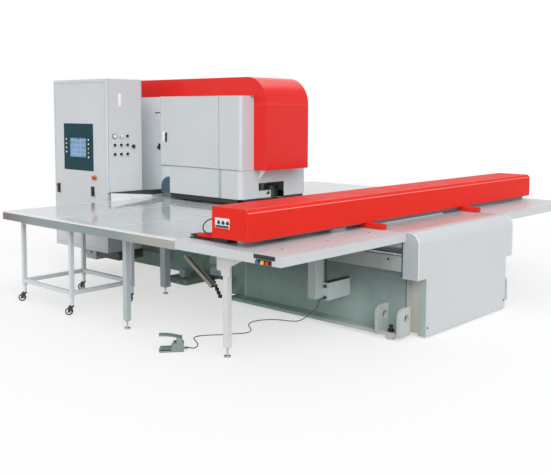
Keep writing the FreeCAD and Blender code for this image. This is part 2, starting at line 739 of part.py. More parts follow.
def hood_corner(depth):
    """The quarter of the hood's face that is rounded off beside the cowl, down to a depth."""
    top, inner = COWL_TOP - COWL_BAND, -COWL_HALF
    corner = block((inner - HOOD_NOTCH, inner), (HOOD_FRONT, HOOD_FRONT + depth), (top - HOOD_NOTCH, top))
    centre = V(inner - HOOD_NOTCH, HOOD_FRONT - 1, top - HOOD_NOTCH)
    return corner.cut(rod(HOOD_NOTCH, centre, centre + Y * (depth + 2)))


def hood():
    """One turret cover: side, front, top and back sheets, open towards the arm and below."""
    top = COWL_TOP - COWL_BAND
    inner_x = -(COWL_HALF - SHEET)
    outer = block((-HOOD_HALF, inner_x), (HOOD_FRONT, HOOD_BACK), (HOOD_BOTTOM, top))
    inner = block((-HOOD_HALF + SHEET, inner_x + 1), (HOOD_FRONT + SHEET, HOOD_BACK - SHEET),
                  (HOOD_BOTTOM - 1, top - SHEET))
    outer = rounded(outer, HOOD_ROUND, Z, x=-HOOD_HALF, y=HOOD_FRONT)
    inner = rounded(inner, HOOD_ROUND - SHEET, Z, x=-HOOD_HALF + SHEET, y=HOOD_FRONT + SHEET)
    sill = block((-HOOD_HALF + SHEET, -HOOD_HALF + SILL_W), (DOOR_FRONT - SILL_LEAD, HOOD_BACK - SHEET),
                 (HOOD_BOTTOM, HOOD_BOTTOM + SILL_T))
    post_back = DOOR_FRONT - DOOR_GAP
    post = block((-HOOD_HALF + SHEET, -HOOD_HALF + POST_W), (post_back - SHEET, post_back),
                 (HOOD_BOTTOM, top - SHEET))
    return fuse(outer.cut(inner), sill, post)


def door_limits():
    top = COWL_TOP - COWL_BAND - SHEET - DOOR_AIR
    return (DOOR_FRONT, HOOD_BACK - SHEET - DOOR_AIR), (HOOD_BOTTOM + SILL_T + DOOR_AIR, top)


def door_pin():
    return V(-HOOD_HALF + DOOR_T / 2, DOOR_FRONT + DOOR_T / 2, 0)


def turret_hoods():
    y, z = door_limits()
    opening = block((-HOOD_HALF - 1, -HOOD_HALF + SHEET), (y[0] - DOOR_GAP, HOOD_BACK - SHEET),
                    (HOOD_BOTTOM + SILL_T, COWL_TOP - COWL_BAND - SHEET))
    pin = door_pin()
    holes = rod(DOOR_PIN_R + FIT, pin + Z * HOOD_BOTTOM, pin + Z * COWL_TOP)
    left = cut(hood(), opening, holes, hood_corner(SHEET))
    return group(left, flip(hood().cut(hood_corner(SHEET))))


def turret_door():
    """Folded sheet door with pin studs at its front corners and its latch plate."""
    y, z = door_limits()
    leaf = block((-HOOD_HALF, -HOOD_HALF + DOOR_T), y, z)
    inside = block((-HOOD_HALF + SHEET, -HOOD_HALF + DOOR_T + 1), (y[0] + SHEET, y[1] - SHEET),
                   (z[0] + SHEET, z[1] - SHEET))
    pin = door_pin()
    bosses = [block((-HOOD_HALF + SHEET, -HOOD_HALF + DOOR_T), (y[0] + SHEET, y[0] + DOOR_T), span)
              for span in ((z[0], z[0] + DOOR_BOSS), (z[1] - DOOR_BOSS, z[1]))]
    studs = [rod(DOOR_PIN_R, pin + Z * (z[0] - DOOR_STUDS[0]), pin + Z * z[0]),
             rod(DOOR_PIN_R, pin + Z * z[1], pin + Z * (z[1] + DOOR_STUDS[1]))]
    thick, half_w, half_h = LATCH_PLATE
    plate = block((-HOOD_HALF + SHEET, -HOOD_HALF + SHEET + thick), (LATCH_Y - half_w, LATCH_Y + half_w),
                  (LATCH_Z - half_h, LATCH_Z + half_h))
    hole = rod(LATCH_R + FIT, V(-HOOD_HALF - 1, LATCH_Y, LATCH_Z), V(-HOOD_HALF + DOOR_T, LATCH_Y, LATCH_Z))
    return fuse(leaf.cut(inside), *bosses, *studs, plate).cut(hole)


def door_latch():
    """Swing lever on a spindle through the door."""
    x = -HOOD_HALF
    back = x - LEVER_GAP
    low, left = LATCH_Z - LEVER_DOWN, LATCH_Y - LEVER_HALF
    lever = block((back - LEVER_T, back), (left, LATCH_Y + LEVER_HALF), (low, LATCH_Z + LEVER_UP))
    lever = rounded(lever, LEVER_ROUND, X, y=left, z=low)
    spindle = rod(LATCH_R, V(back - SINK, LATCH_Y, LATCH_Z), V(x + LATCH_IN, LATCH_Y, LATCH_Z))
    collar = rod(LATCH_COLLAR_R, V(back, LATCH_Y, LATCH_Z), V(x - TOUCH_GAP, LATCH_Y, LATCH_Z))
    return fuse(lever, spindle, collar)


def lower_skirt():
    """Lower turret cover: a U of sheet with rounded front corners, a window open to the sheet gap and a cheek
    plate behind each side."""
    half, front = HOOD_HALF - SKIRT_INSET, HOOD_FRONT + SKIRT_INSET
    outer = block((-half, half), (front, SKIRT_BACK), (SKIRT_BOTTOM, HOOD_BOTTOM))
    inner_half = half - SHEET
    inner = block((-inner_half, inner_half), (front + SHEET, SKIRT_BACK + 1),
                  (SKIRT_BOTTOM - 1, HOOD_BOTTOM + 1))
    for side in (-1, 1):
        outer = rounded(outer, SKIRT_ROUND, Z, x=side * half, y=front)
        inner = rounded(inner, SKIRT_ROUND - SHEET, Z, x=side * inner_half, y=front + SHEET)
    window = block(WINDOW_X, (front - 1, front + SHEET + 1), (SKIRT_BOTTOM - 1, WINDOW_TOP))
    tab = block((WINDOW_X[0], WINDOW_X[0] + TAB_W), (front, front + SHEET),
                (SKIRT_BOTTOM, SKIRT_BOTTOM + TAB_H))
    hole = V(WINDOW_X[0] + TAB_HOLE[0], front - 1, SKIRT_BOTTOM + TAB_HOLE[1])
    tab = tab.cut(rod(TAB_HOLE_R, hole, hole + Y * (SHEET + 2)))
    edge = [V(half, y, z) for y, z in CHEEK]
    foot = [V(half, CHEEK[-1][0], SKIRT_BOTTOM), V(half, CHEEK[0][0], SKIRT_BOTTOM)]
    lines = [Part.Arc(*edge), Part.LineSegment(edge[-1], foot[0]), Part.LineSegment(*foot),
             Part.LineSegment(foot[1], edge[0])]
    cheek = Part.Face(Part.Wire([line.toShape() for line in lines])).extrude(V(-SHEET, 0, 0))
    return fuse(outer.cut(inner).cut(window), tab, cheek, flip(cheek))


# ---- turrets and ram ----
def stations():
    """(index, place, tool radius); station 0 stands on the punch axis."""
    found = []
    for n in range(STATIONS):
        angle = -math.pi / 2 + n * 2 * math.pi / STATIONS
        place = turret_centre() + V(math.cos(angle), math.sin(angle), 0) * PITCH_R
        found.append((n, place, TOOL_RS[n % len(TOOL_RS)]))
    return found


def disc(low, high, shaft_to):
    """A turret plate with its hub and shaft, drilled for the tools."""
    centre = turret_centre()
    plate = rod(TURRET_R, centre + Z * low, centre + Z * high)
    start = high if shaft_to > high else low
    step = HUB_UP if shaft_to > high else -HUB_DOWN
    hub = rod(HUB_R, centre + Z * start, centre + Z * (start + step))
    shaft = rod(SHAFT_R, centre + Z * (start + step), centre + Z * shaft_to)
    plate = fuse(plate, hub, shaft)
    holes = [rod(r, place + Z * (low - 1), place + Z * (high + 1)) for _, place, r in stations()]
    return cut(plate, *holes)


def upper_turret():
    return disc(UPPER_BOTTOM, UPPER_BOTTOM + UPPER_T, ARM_BOTTOM - 2)


def lower_turret():
    return disc(LOWER_TOP - LOWER_T, LOWER_TOP, REAR_TOP + TOUCH_GAP)


def turret_bearings():
    centre = turret_centre()
    top = tube(BEARING_R, SHAFT_R + FIT, centre + Z * (ARM_BOTTOM - BEARING_H), centre + Z * ARM_BOTTOM)
    low = tube(BEARING_R, SHAFT_R + FIT, centre + Z * REAR_TOP, centre + Z * (REAR_TOP + BEARING_H))
    return group(top, low)


def tool(place, r):
    """A resting punch in its guide: the body in the turret's hole, the wider head above it."""
    high = UPPER_BOTTOM + UPPER_T
    body = rod(r - TOOL_SEAT, place + Z * (UPPER_BOTTOM + TOOL_TIP_IN), place + Z * high)
    head = rod(r + TOOL_HEAD, place + Z * high, place + Z * (TOOL_TOP - STROKE - HEAD_AIR))
    return fuse(body, head)


def punches():
    return group(*[tool(place, r) for n, place, r in stations() if n])


def active_punch():
    """The punch under the striker, lifted above the resting ones by the length of the stroke."""
    _, place, r = stations()[0]
    high = UPPER_BOTTOM + UPPER_T
    low, neck = high - TOOL_BODY, high + STROKE + NECK
    guide = rod(r - FIT, place + Z * low, place + Z * neck)
    tip = rod(TIP_R, place + Z * (UPPER_BOTTOM + TOOL_TIP_IN), place + Z * low)
    return fuse(guide, tip, rod(r + TOOL_HEAD, place + Z * neck, place + Z * TOOL_TOP))


def dies():
    rings = []
    for _, place, r in stations():
        low = LOWER_TOP - TOOL_BODY
        body = rod(r - TOOL_SEAT, place + Z * low, place + Z * LOWER_TOP)
        rim = rod(r + DIE_RIM, place + Z * LOWER_TOP, place + Z * TABLE_TOP)
        hole = rod(r / 2, place + Z * (low - 1), place + Z * (TABLE_TOP + 1))
        rings.append(fuse(body, rim).cut(hole))
    return group(*rings)


def ram_cylinder():
    foot = V(0, 0, ARM_BOTTOM - CYLINDER_H)
    body = tube(CYLINDER_R, STRIKER_R + FIT, foot, V(0, 0, ARM_BOTTOM))
    flange = tube(CYLINDER_R + CYLINDER_LIP, STRIKER_R + FIT, V(0, 0, ARM_BOTTOM - CYLINDER_LIP_T),
                  V(0, 0, ARM_BOTTOM))
    return fuse(body, flange)


def striker():
    foot = V(0, 0, TOOL_TOP + TOUCH_GAP)
    neck = foot + Z * STRIKER_FOOT_T
    head = rod(STRIKER_FOOT_R, foot, neck)
    return fuse(head, rod(STRIKER_R, neck, V(0, 0, ARM_BOTTOM + STRIKER_IN)))


# ---- crossrail ----
def crossrail_beam():
    z = (BEAM_BOTTOM, RAIL_TOP - SHEET)
    return bar((-BEAM_HALF, BEAM_HALF), (BEAM_FRONT, BEAM_BACK), z, "x", BEAM_WALL)


def crossrail_cover():
    """Sheet cover over the beam: front, top, ends and a short lip at the back."""
    outer = block((-RAIL_HALF, RAIL_HALF), (RAIL_FRONT, RAIL_BACK), (RAIL_BOTTOM, RAIL_TOP))
    outer = outer.makeChamfer(RAIL_CHAMFER, edges_near(outer, X, y=RAIL_FRONT, z=RAIL_TOP))
    half = RAIL_HALF - SHEET
    front, top = RAIL_FRONT + SHEET, RAIL_TOP - SHEET
    inner = block((-half, half), (front, RAIL_BACK - SHEET), (RAIL_BOTTOM - 1, top))
    inner = inner.makeChamfer(RAIL_CHAMFER - 1, edges_near(inner, X, y=front, z=top))
    back = block((-half, half), (RAIL_BACK - SHEET - 1, RAIL_BACK + 1),
                 (RAIL_BOTTOM - 1, RAIL_TOP - RAIL_LIP))
    return cut(outer, inner, back)


def crossrail_feet():
    """Red bars on the table with a web through the gap to a shoe on the base's rail."""
    x = SLOT_X
    low = RAIL_BOTTOM - FOOT_H
    arm = block((x - FOOT_W / 2, x + FOOT_W / 2), (FOOT_FRONT, BEAM_BACK), (low, RAIL_BOTTOM))
    riser = block((x - FOOT_W / 2, x + FOOT_W / 2), (BEAM_FRONT, BEAM_BACK), (RAIL_BOTTOM, BEAM_BOTTOM))
    shoe_top = LEDGE_TOP + GUIDE + SHOE_UP
    web = block((x - WEB_T / 2, x + WEB_T / 2), (WEB_FRONT, BEAM_BACK), (shoe_top, low))
    shoe = block((x - SHOE_W / 2, x + SHOE_W / 2), (WEB_FRONT, BEAM_BACK), (LEDGE_TOP + SHOE_AIR, shoe_top))
    groove = GUIDE / 2 + TOUCH_GAP
    slot = block((x - groove, x + groove), (WEB_FRONT - 1, BEAM_BACK + 1),
                 (LEDGE_TOP, LEDGE_TOP + GUIDE + TOUCH_GAP))
    return pair(fuse(arm, riser, web, shoe).cut(slot))


def y_rails():
    front = COVER_FRONT + COVER_DEPTH + Y_GUIDE_INSET
    x = (SLOT_X - GUIDE / 2, SLOT_X + GUIDE / 2)
    return pair(block(x, (front, BASE_STEP), (LEDGE_TOP, LEDGE_TOP + GUIDE)))


def x_rails():
    half = BEAM_HALF - X_GUIDE_INSET
    rails = [block((-half, half), (BEAM_BACK, BEAM_BACK + GUIDE), (z, z + GUIDE)) for z in X_GUIDE_ZS]
    return group(*rails)


def clamp_body(x):
    """Lower jaw on the carriage with two cheeks and the jaw's pin."""
    low = TABLE_TOP + CLAMP_AIR
    seat = low + CLAMP_FLOOR
    inside = JAW_W / 2 + JAW_SIDE_AIR
    outside = inside + CLAMP_CHEEK
    floor = block((x - outside, x + outside), (CARRIAGE_BACK, CLAMP_TIP), (low, seat))
    y = (CARRIAGE_BACK, CLAMP_PIN_Y + CLAMP_CHEEK_BACK)
    cheeks = [block(span, y, (seat, CLAMP_PIN_Z + CLAMP_CHEEK_UP))
              for span in ((x - outside, x - inside), (x + inside, x + outside))]
    pin = rod(CLAMP_PIN_R, V(x - outside, CLAMP_PIN_Y, CLAMP_PIN_Z), V(x + outside, CLAMP_PIN_Y, CLAMP_PIN_Z))
    return fuse(floor, *cheeks, pin)


def x_carriage():
    """Plate behind the beam with its shoes on the two rails, and the three clamps' lower jaws."""
    face = BEAM_BACK + GUIDE + SHOE_COVER
    left, right = CARRIAGE_X - CARRIAGE_HALF, CARRIAGE_X + CARRIAGE_HALF
    solids = [block((left, right), (face, CARRIAGE_BACK), CARRIAGE_Z)]
    for x in (left + SHOE_INSET, CARRIAGE_X - SHOE_L / 2, right - SHOE_INSET - SHOE_L):
        for z in X_GUIDE_ZS:
            shoe = block((x, x + SHOE_L), (BEAM_BACK + SHOE_AIR, face),
                         (z - SHOE_SIDE, z + GUIDE + SHOE_SIDE))
            groove = block((x - 1, x + SHOE_L + 1), (BEAM_BACK, BEAM_BACK + GUIDE + TOUCH_GAP),
                           (z - TOUCH_GAP, z + GUIDE + TOUCH_GAP))
            solids.append(shoe.cut(groove))
    reach = JAW_W / 2 + JAW_SIDE_AIR + CLAMP_CHEEK
    for x in CLAMP_XS:
        solids.append(block((x - reach, x + reach), (CARRIAGE_BACK - HANGER_T, CARRIAGE_BACK),
                            (TABLE_TOP + CLAMP_AIR, CARRIAGE_Z[0])))
    return fuse(*solids, *[clamp_body(x) for x in CLAMP_XS])


def clamp_jaw(x):
    """Upper jaw: a lever on the clamp's pin, open by the mouth at rest."""
    low = TABLE_TOP + CLAMP_AIR + CLAMP_FLOOR + CLAMP_MOUTH
    heel, top = CLAMP_PIN_Y - JAW_HEEL, CLAMP_PIN_Z + JAW_ABOVE
    profile = [(heel, CLAMP_PIN_Z - JAW_BELOW), (CLAMP_PIN_Y + JAW_BENDS[0], low), (CLAMP_TIP, low),
               (CLAMP_TIP, low + JAW_T), (CLAMP_PIN_Y + JAW_BENDS[1], top), (heel, top)]
    pin = V(x, CLAMP_PIN_Y, CLAMP_PIN_Z)
    bore = rod(CLAMP_PIN_R + FIT, pin - X * JAW_W, pin + X * JAW_W)
    return side_plate(profile, (x - JAW_W / 2, x + JAW_W / 2)).cut(bore)


def end_plate():
    """White plate with three black buttons on the crossrail's left end."""
    y = (RAIL_FRONT + END_PLATE_Y[0], RAIL_FRONT + END_PLATE_Y[1])
    z = (RAIL_BOTTOM + END_PLATE_Z[0], RAIL_BOTTOM + END_PLATE_Z[1])
    plate = block((-RAIL_HALF - SHEET, -RAIL_HALF), y, z)
    middle = V(-RAIL_HALF - SHEET, sum(y) / 2 + END_BUTTON_SHIFT[0], sum(z) / 2 + END_BUTTON_SHIFT[1])
    starts = [middle + Y * (n * END_BUTTON_STEP) for n in (-1, 0, 1)]
    return fuse(plate, *[rod(END_BUTTON_R, start, start - X * END_BUTTON_T) for start in starts])


def clamp_hose():
    """The first clamp's hose: a loop from the carriage's back face round to the clamp's outer cheek, trimmed
    flush with both."""
    return tube_path([CLAMP_HOSE_START + V(*step) for step in CLAMP_HOSE_STEPS], HOSE_D).cut(x_carriage())


# ---- cabinet ----
def cabinet():
    """Sheet cabinet on brackets from the column; its front steps back below the sill and its side is open
    where the lift-off panel sits."""
    upper = hollow(CAB_X, CAB_Y, (CAB_SILL, CAB_Z[1]), SHEET)
    lower = hollow(CAB_X, (CAB_Y[0] + CAB_RECESS, CAB_Y[1]), (CAB_Z[0], CAB_SILL + SHEET), SHEET)
    brackets = [block((CAB_X[1], -REAR_HALF), CAB_BRACKET_Y, z) for z in CAB_BRACKET_ZS]
    py, pz = panel_limits()
    recess = block((CAB_X[0], CAB_X[0] + PANEL_T), (py[0] - PANEL_GAP, py[1] + PANEL_GAP),
                   (pz[0] - PANEL_GAP, pz[1] + PANEL_GAP))
    backing = block((CAB_X[0] + PANEL_T, CAB_X[0] + PANEL_T + SHEET),
                    (CAB_Y[0] + CAB_RECESS, CAB_Y[1] - SHEET), (CAB_Z[0] + SHEET, CAB_Z[1] - SHEET))
    return group(fuse(upper, lower, backing).cut(recess), *brackets)


def panel_limits():
    margin = PANEL_MARGIN + PANEL_GAP
    y = (CAB_Y[0] + PANEL_SHIFT + margin, CAB_Y[1] + PANEL_SHIFT - margin)
    return y, (CAB_Z[0] + margin, CAB_Z[1] - margin)


def cabinet_panel():
    """Lift-off panel on the cabinet's side, cut out for the console and bored for the stop button, with two
    latches."""
    y, z = panel_limits()
    face = CAB_X[0]
    panel = block((face, face + PANEL_T), y, z)
    console_hole = block((face - 1, face + PANEL_T + 1), CONSOLE_Y, CONSOLE_Z)
    stop = V(face - 1, *STOP_PLACE)
    depth, half_w, half_h = PANEL_LATCH
    latches = [block((face - depth, face), (at_y - half_w, at_y + half_w), (at_z - half_h, at_z + half_h))
               for at_y, at_z in LATCH_PLACES]
    bore = rod(BUTTON_STEM_R + FIT, stop, stop + X * (PANEL_T + 2))
    return fuse(cut(panel, console_hole, bore), *latches)


def console():
    """Console plate with the screen's recess and a column of keys on each side of it."""
    face = CAB_X[0] - CONSOLE_OUT
    plate = block((face, CAB_X[0] + PANEL_T), CONSOLE_Y, CONSOLE_Z)
    plate = plate.cut(block((face - 1, CAB_X[0] + SCREEN_IN), SCREEN_Y, SCREEN_Z))
    keys = []
    for y, count in zip(TOUCH_KEY_YS, (4, 5)):
        for n in range(count):
            seat = V(face, y, SCREEN_Z[1] - TOUCH_KEY_DROP - n * TOUCH_KEY_STEP)
            keys.append(rod(TOUCH_KEY_R, seat, seat - X * TOUCH_KEY_T))
    return fuse(plate, *keys)


def screen():
    y = (SCREEN_Y[0] + SCREEN_GAP, SCREEN_Y[1] - SCREEN_GAP)
    z = (SCREEN_Z[0] + SCREEN_GAP, SCREEN_Z[1] - SCREEN_GAP)
    return block((CAB_X[0] - SCREEN_OUT, CAB_X[0] + SCREEN_IN), y, z)


def cabinet_controls():
    """Gauge, lamp, black buttons and the key's collar on the cabinet's front face, and the stop button's
    plate."""
    face = CAB_Y[0]
    items = []
    for row, z in enumerate(BUTTON_ZS):
        for column, x in enumerate(BUTTON_XS):
            radius, depth = GAUGE if (row, column) == (0, 0) else PANEL_BUTTON
            items.append(rod(radius, V(x, face, z), V(x, face - depth, z)))
    key = V(KEY_PLACE[0], face, KEY_PLACE[1])
    items.append(tube(KEY_R * 1.4, KEY_R + FIT, key - Y * KEY_COLLAR, key))
    stop = V(CAB_X[0], *STOP_PLACE)
    items.append(tube(COLLAR_R, BUTTON_STEM_R + FIT, stop - X * COLLAR_T, stop))
    return group(*items)


def key_switch():
    """Turn knob whose spindle stands in the collar's bore."""
    front = V(KEY_PLACE[0], CAB_Y[0] - KEY_COLLAR, KEY_PLACE[1])
    half_w, depth, half_h = KEY_GRIP
    spindle = rod(KEY_R, front - Y * TOUCH_GAP, front + Y * (KEY_COLLAR - 1))
    grip = block((front.x - half_w, front.x + half_w), (front.y - depth, front.y - TOUCH_GAP),
                 (front.z - half_h, front.z + half_h))
    return fuse(spindle, grip)


def push_button(face, depth, cap_r, cap_t):
    """A cap on a stem along -X; the stem stands in a bore behind the face."""
    seat = face - X * (BUTTON_TRAVEL + depth)
    stem = rod(BUTTON_STEM_R, seat, face + X * STEM_IN)
    return fuse(stem, rod(cap_r, seat - X * cap_t, seat))


def stop_button():
    return push_button(V(CAB_X[0] - COLLAR_T, *STOP_PLACE), *STOP_CAP)


# ---- button station on the left apron ----
def station():
    """Blank dark plate and, below it, the strip with the buttons' bores."""
    wall = -TABLE_HALF
    plate = block((wall - STATION_T, wall), STATION_Y, STATION_Z)
    strip = block((wall - STRIP_T, wall), STRIP_Y, STRIP_Z)
    middle = sum(STRIP_Z) / 2
    bores = [rod(BUTTON_STEM_R + FIT, V(wall - STRIP_T - 1, y, middle), V(wall, y, middle))
             for y in STATION_BUTTONS]
    return group(plate, cut(strip, *bores))


def station_button(y):
    return push_button(V(-TABLE_HALF - STRIP_T, y, sum(STRIP_Z) / 2), *STATION_CAP)


# ---- castor cart ----
def cart_frame():
    """Four tubes on castor stems with a ring of bars near the floor and one below the tables."""
    half = CART_TUBE / 2
    bars = []
    for x in CART_XS:
        for y in CART_YS:
            spans = ((x - half, x + half), (y - half, y + half))
            bars.append(bar(*spans, (CART_FOOT, LEG_TOP), "z", CART_WALL))
            bars.append(rod(SWIVEL_R, V(x, y, FORK_HEAD - CROWN_T), V(x, y, CART_FOOT)))
            bars.append(rod(SWIVEL_R * 2, V(x, y, FORK_HEAD + TOUCH_GAP), V(x, y, CART_FOOT)))
            bars.append(block(*spans, (CART_FOOT, CART_FOOT + CART_SOLE)))
    for z in ((CART_RAIL, CART_RAIL + CART_TUBE), (LEG_TOP - CART_TUBE, LEG_TOP)):
        for x in CART_XS:
            bars.append(block((x - half, x + half), (CART_YS[0] + half, CART_YS[1] - half), z))
        for y in CART_YS:
            bars.append(block((CART_XS[0] + half, CART_XS[1] - half), (y - half, y + half), z))
    return fuse(*bars)


def castor_placed(shape, x, y):
    shape.rotate(V(0, 0, 0), Z, CASTOR_TURN)
    shape.translate(V(x, y, 0))
    return shape


def castor_fork(x, y):
    """Swivel crown on the stem with two cheeks and the wheel's axle."""
    inside = CASTOR_W / 2 + FORK_AIR
    low = CASTOR_R - FORK_BELOW
    profile = [(FORK_AHEAD, FORK_HEAD), (-CASTOR_TRAIL, FORK_HEAD), (-CASTOR_TRAIL - FORK_EDGE, low),
               (-CASTOR_TRAIL + FORK_EDGE, low)]
    cheek = side_plate(profile, (inside, inside + FORK_T))
    crown = block((-inside, inside), (-CASTOR_TRAIL, FORK_AHEAD), (FORK_HEAD - FORK_T, FORK_HEAD))
    hub = rod(CROWN_R, Z * (FORK_HEAD - CROWN_T), Z * FORK_HEAD)
    bore = rod(SWIVEL_R + FIT, V(0, 0, 0), Z * (FORK_HEAD + 1))
    half_axle = X * (inside + FORK_T)
    axle = V(0, -CASTOR_TRAIL, CASTOR_R)
    fork = fuse(cheek, flip(cheek), crown, hub).cut(bore)
    return castor_placed(fuse(fork, rod(AXLE_R, axle - half_axle, axle + half_axle)), x, y)


def castor_wheel(x, y):
    axle = V(0, -CASTOR_TRAIL, CASTOR_R)
    half = X * (CASTOR_W / 2)
    return castor_placed(tube(CASTOR_R, AXLE_R + FIT, axle - half, axle + half), x, y)


# ---- under the table ----
def junction_box():
    """Duct down from the front table and the box beside it, with two cable glands on its left end."""
    duct = block(DUCT_X, DUCT_Y, (DUCT_LOW, TABLE_TOP - STRIP_APRON))
    y = sum(BOX_Y) / 2
    glands = [rod(GLAND_R, V(BOX_X[0], y, z), V(BOX_X[0] - GLAND_L, y, z)) for z in GLAND_ZS]
    return group(duct, fuse(block(BOX_X, BOX_Y, BOX_Z), *glands))


def box_cable():
    """Cable from under the front table to the top of the junction box, trimmed flush with both."""
    high = V(CABLE_X, sum(BOX_Y) / 2, TABLE_TOP - STRIP_APRON)
    points = [high + V(*step) for step in CABLE_STEPS]
    points.append(V(points[-1].x, points[-1].y, BOX_Z[1]))
    return tube_path(points, CABLE_D).cut(group(front_tables(), junction_box()))


def drive_housing():
    """Turret drive gearbox beside the rear base and the oil reservoir on the outrigger."""
    gearbox = block((GEARBOX_X, -REAR_HALF), (GEARBOX_Y, GEARBOX_Y + GEARBOX_L), GEARBOX_Z)
    reservoir = block(RESERVOIR_X, RESERVOIR_Y, (OUTRIGGER_TOP, OUTRIGGER_TOP + RESERVOIR_H))
    return group(gearbox, reservoir)


def slug_chute():
    """Sloping channel for the slugs, held by a bar to the gearbox."""
    along = (CHUTE_END - CHUTE_START).normalize()
    across = along.cross(X)
    wall = CHUTE_WALL
    profile = [(0, 0), (CHUTE_W, 0), (CHUTE_W, CHUTE_H), (CHUTE_W - wall, CHUTE_H), (CHUTE_W - wall, wall),
               (wall, wall), (wall, CHUTE_H), (0, CHUTE_H)]
    points = [CHUTE_START + X * (u - CHUTE_W / 2) + across * v for u, v in profile]
    channel = face_of(points).extrude(CHUTE_END - CHUTE_START)
    y = GEARBOX_Y + GEARBOX_L / 3
    fall = (CHUTE_START.y - y) / (CHUTE_START.y - CHUTE_END.y)
    z = CHUTE_START.z + (CHUTE_END.z - CHUTE_START.z) * fall
    low = z + STAY_UP
    stay = block((CHUTE_START.x + CHUTE_W / 2 - CHUTE_WALL, GEARBOX_X), (y, y + STAY), (low, low + STAY))
    return fuse(channel, stay)


# ---- pedal ----
def placed_pedal(shape):
    """Moves a pedal built with its heel at the origin and its toe along +X to its place on the floor."""
    shape.rotate(V(0, 0, 0), Z, PEDAL_ANGLE)
    shape.translate(PEDAL_HEEL)
    return shape


def side_block(profile, half):
    """A (x, z) profile made as wide as the pedal."""
    return face_of([V(x, -half, z) for x, z in profile]).extrude(V(0, 2 * half, 0))


def pedal_housing():
    """Cast base with a raised heel block and two cheeks round the treadle's pin."""
    half = PEDAL_W / 2
    sole = block((0, PEDAL_L), (-half, half), (0, SOLE_T))
    sole = rounded(sole, SOLE_ROUND, Z, x=PEDAL_L, y=-half)
    sole = rounded(sole, SOLE_ROUND, Z, x=PEDAL_L, y=half)
    guard = block((GUARD_START, PEDAL_L - GUARD_END), (-half + GUARD_INSET, half - GUARD_INSET), GUARD_Z)
    heel = side_block(HEEL_OUTLINE, half)
    cheeks = [block(PIN_CHEEK_X, span, PIN_CHEEK_Z)
              for span in ((-half, -half + PIN_CHEEK_T), (half - PIN_CHEEK_T, half))]
    pin = rod(PEDAL_PIN_R, V(PEDAL_PIN.x, -half, PEDAL_PIN.z), V(PEDAL_PIN.x, half, PEDAL_PIN.z))
    gland = rod(PEDAL_GLAND_R, PEDAL_EXIT, V(0, 0, PEDAL_EXIT.z))
    return placed_pedal(fuse(sole, heel, guard, *cheeks, pin, gland))


def pedal_treadle():
    """Curved lever plate on the pin, sprung up."""
    half = PEDAL_W / 2 - PIN_CHEEK_T - TREADLE_AIR
    start, end = V(PEDAL_PIN.x, -half, PEDAL_PIN.z), V(PEDAL_PIN.x, half, PEDAL_PIN.z)
    share, crown = TREADLE_CROWN
    low = [start + Z * TREADLE_RISE, V(PEDAL_L * share, -half, crown), V(PEDAL_L, -half, TREADLE_TOE)]
    high = [point + Z * TREADLE_T for point in low]
    edges = [Part.Arc(*low), Part.LineSegment(low[2], high[2]), Part.Arc(*reversed(high)),
             Part.LineSegment(high[0], low[0])]
    plate = Part.Face(Part.Wire([edge.toShape() for edge in edges])).extrude(V(0, 2 * half, 0))
    lever = fuse(rod(TREADLE_HUB_R, start, end), plate)
    return placed_pedal(lever.cut(rod(PEDAL_PIN_R + FIT, start, end)))


def pedal_cord():
    """Free cord from the pedal's gland over the floor and up to the junction box."""
    leave = placed_pedal(Part.Vertex(PEDAL_EXIT)).Point
    straight = placed_pedal(Part.Vertex(PEDAL_EXIT - X * CORD_LEAD)).Point
    cord = tube_path([leave, straight] + [V(*point) for point in CORD_ROUTE], CORD_D)
    return cord.cut(group(pedal_housing(), junction_box()))


# ---- build ----
def main():
    os.makedirs("parts", exist_ok=True)
    makers = (
        base_frame, levelling_feet, front_cover, centre_table, front_tables, rear_table_plates,
        rear_table_frames, table_legs, c_frame, nose_cowl, turret_hoods, turret_door, door_latch, lower_skirt,
        upper_turret, lower_turret, turret_bearings, punches, active_punch, dies, ram_cylinder, striker,
        crossrail_beam, crossrail_cover, crossrail_feet, y_rails, x_rails, x_carriage, end_plate, clamp_hose,
        cabinet, cabinet_panel, console, screen, cabinet_controls, key_switch, stop_button, station,
        cart_frame, junction_box, box_cable, drive_housing, slug_chute, pedal_housing, pedal_treadle,
        pedal_cord,
    )
    nodes = {maker.__name__: maker() for maker in makers}
    for n, x in enumerate(CLAMP_XS):
        nodes["clamp_jaw_%d" % (n + 1)] = clamp_jaw(x)
    for name, y in zip(("blue", "yellow", "red"), STATION_BUTTONS):
        nodes["%s_button" % name] = station_button(y)
    corners = [(x, y) for x in CART_XS for y in CART_YS]
    for n, (x, y) in enumerate(corners):
        nodes["castor_fork_%d" % (n + 1)] = castor_fork(x, y)
        nodes["castor_wheel_%d" % (n + 1)] = castor_wheel(x, y)
    for name, shape in nodes.items():
        save(name, shape)
    print(len(nodes), "nodes")


main()
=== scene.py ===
import math
from functools import reduce

import bmesh
import bpy
from mathutils import Matrix, Vector


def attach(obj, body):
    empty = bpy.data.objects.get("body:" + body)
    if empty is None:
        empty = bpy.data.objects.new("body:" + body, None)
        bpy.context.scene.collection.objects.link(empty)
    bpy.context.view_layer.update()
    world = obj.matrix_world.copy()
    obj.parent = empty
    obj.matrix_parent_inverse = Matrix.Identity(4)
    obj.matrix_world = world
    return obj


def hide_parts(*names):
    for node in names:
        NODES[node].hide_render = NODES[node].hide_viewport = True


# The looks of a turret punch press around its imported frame, in metres. X runs along the crossrail, Y from the
# loading side to the rear, Z up; the origin is on the floor below the punch axis. The sizes of a group of
# pieces stand above its functions.

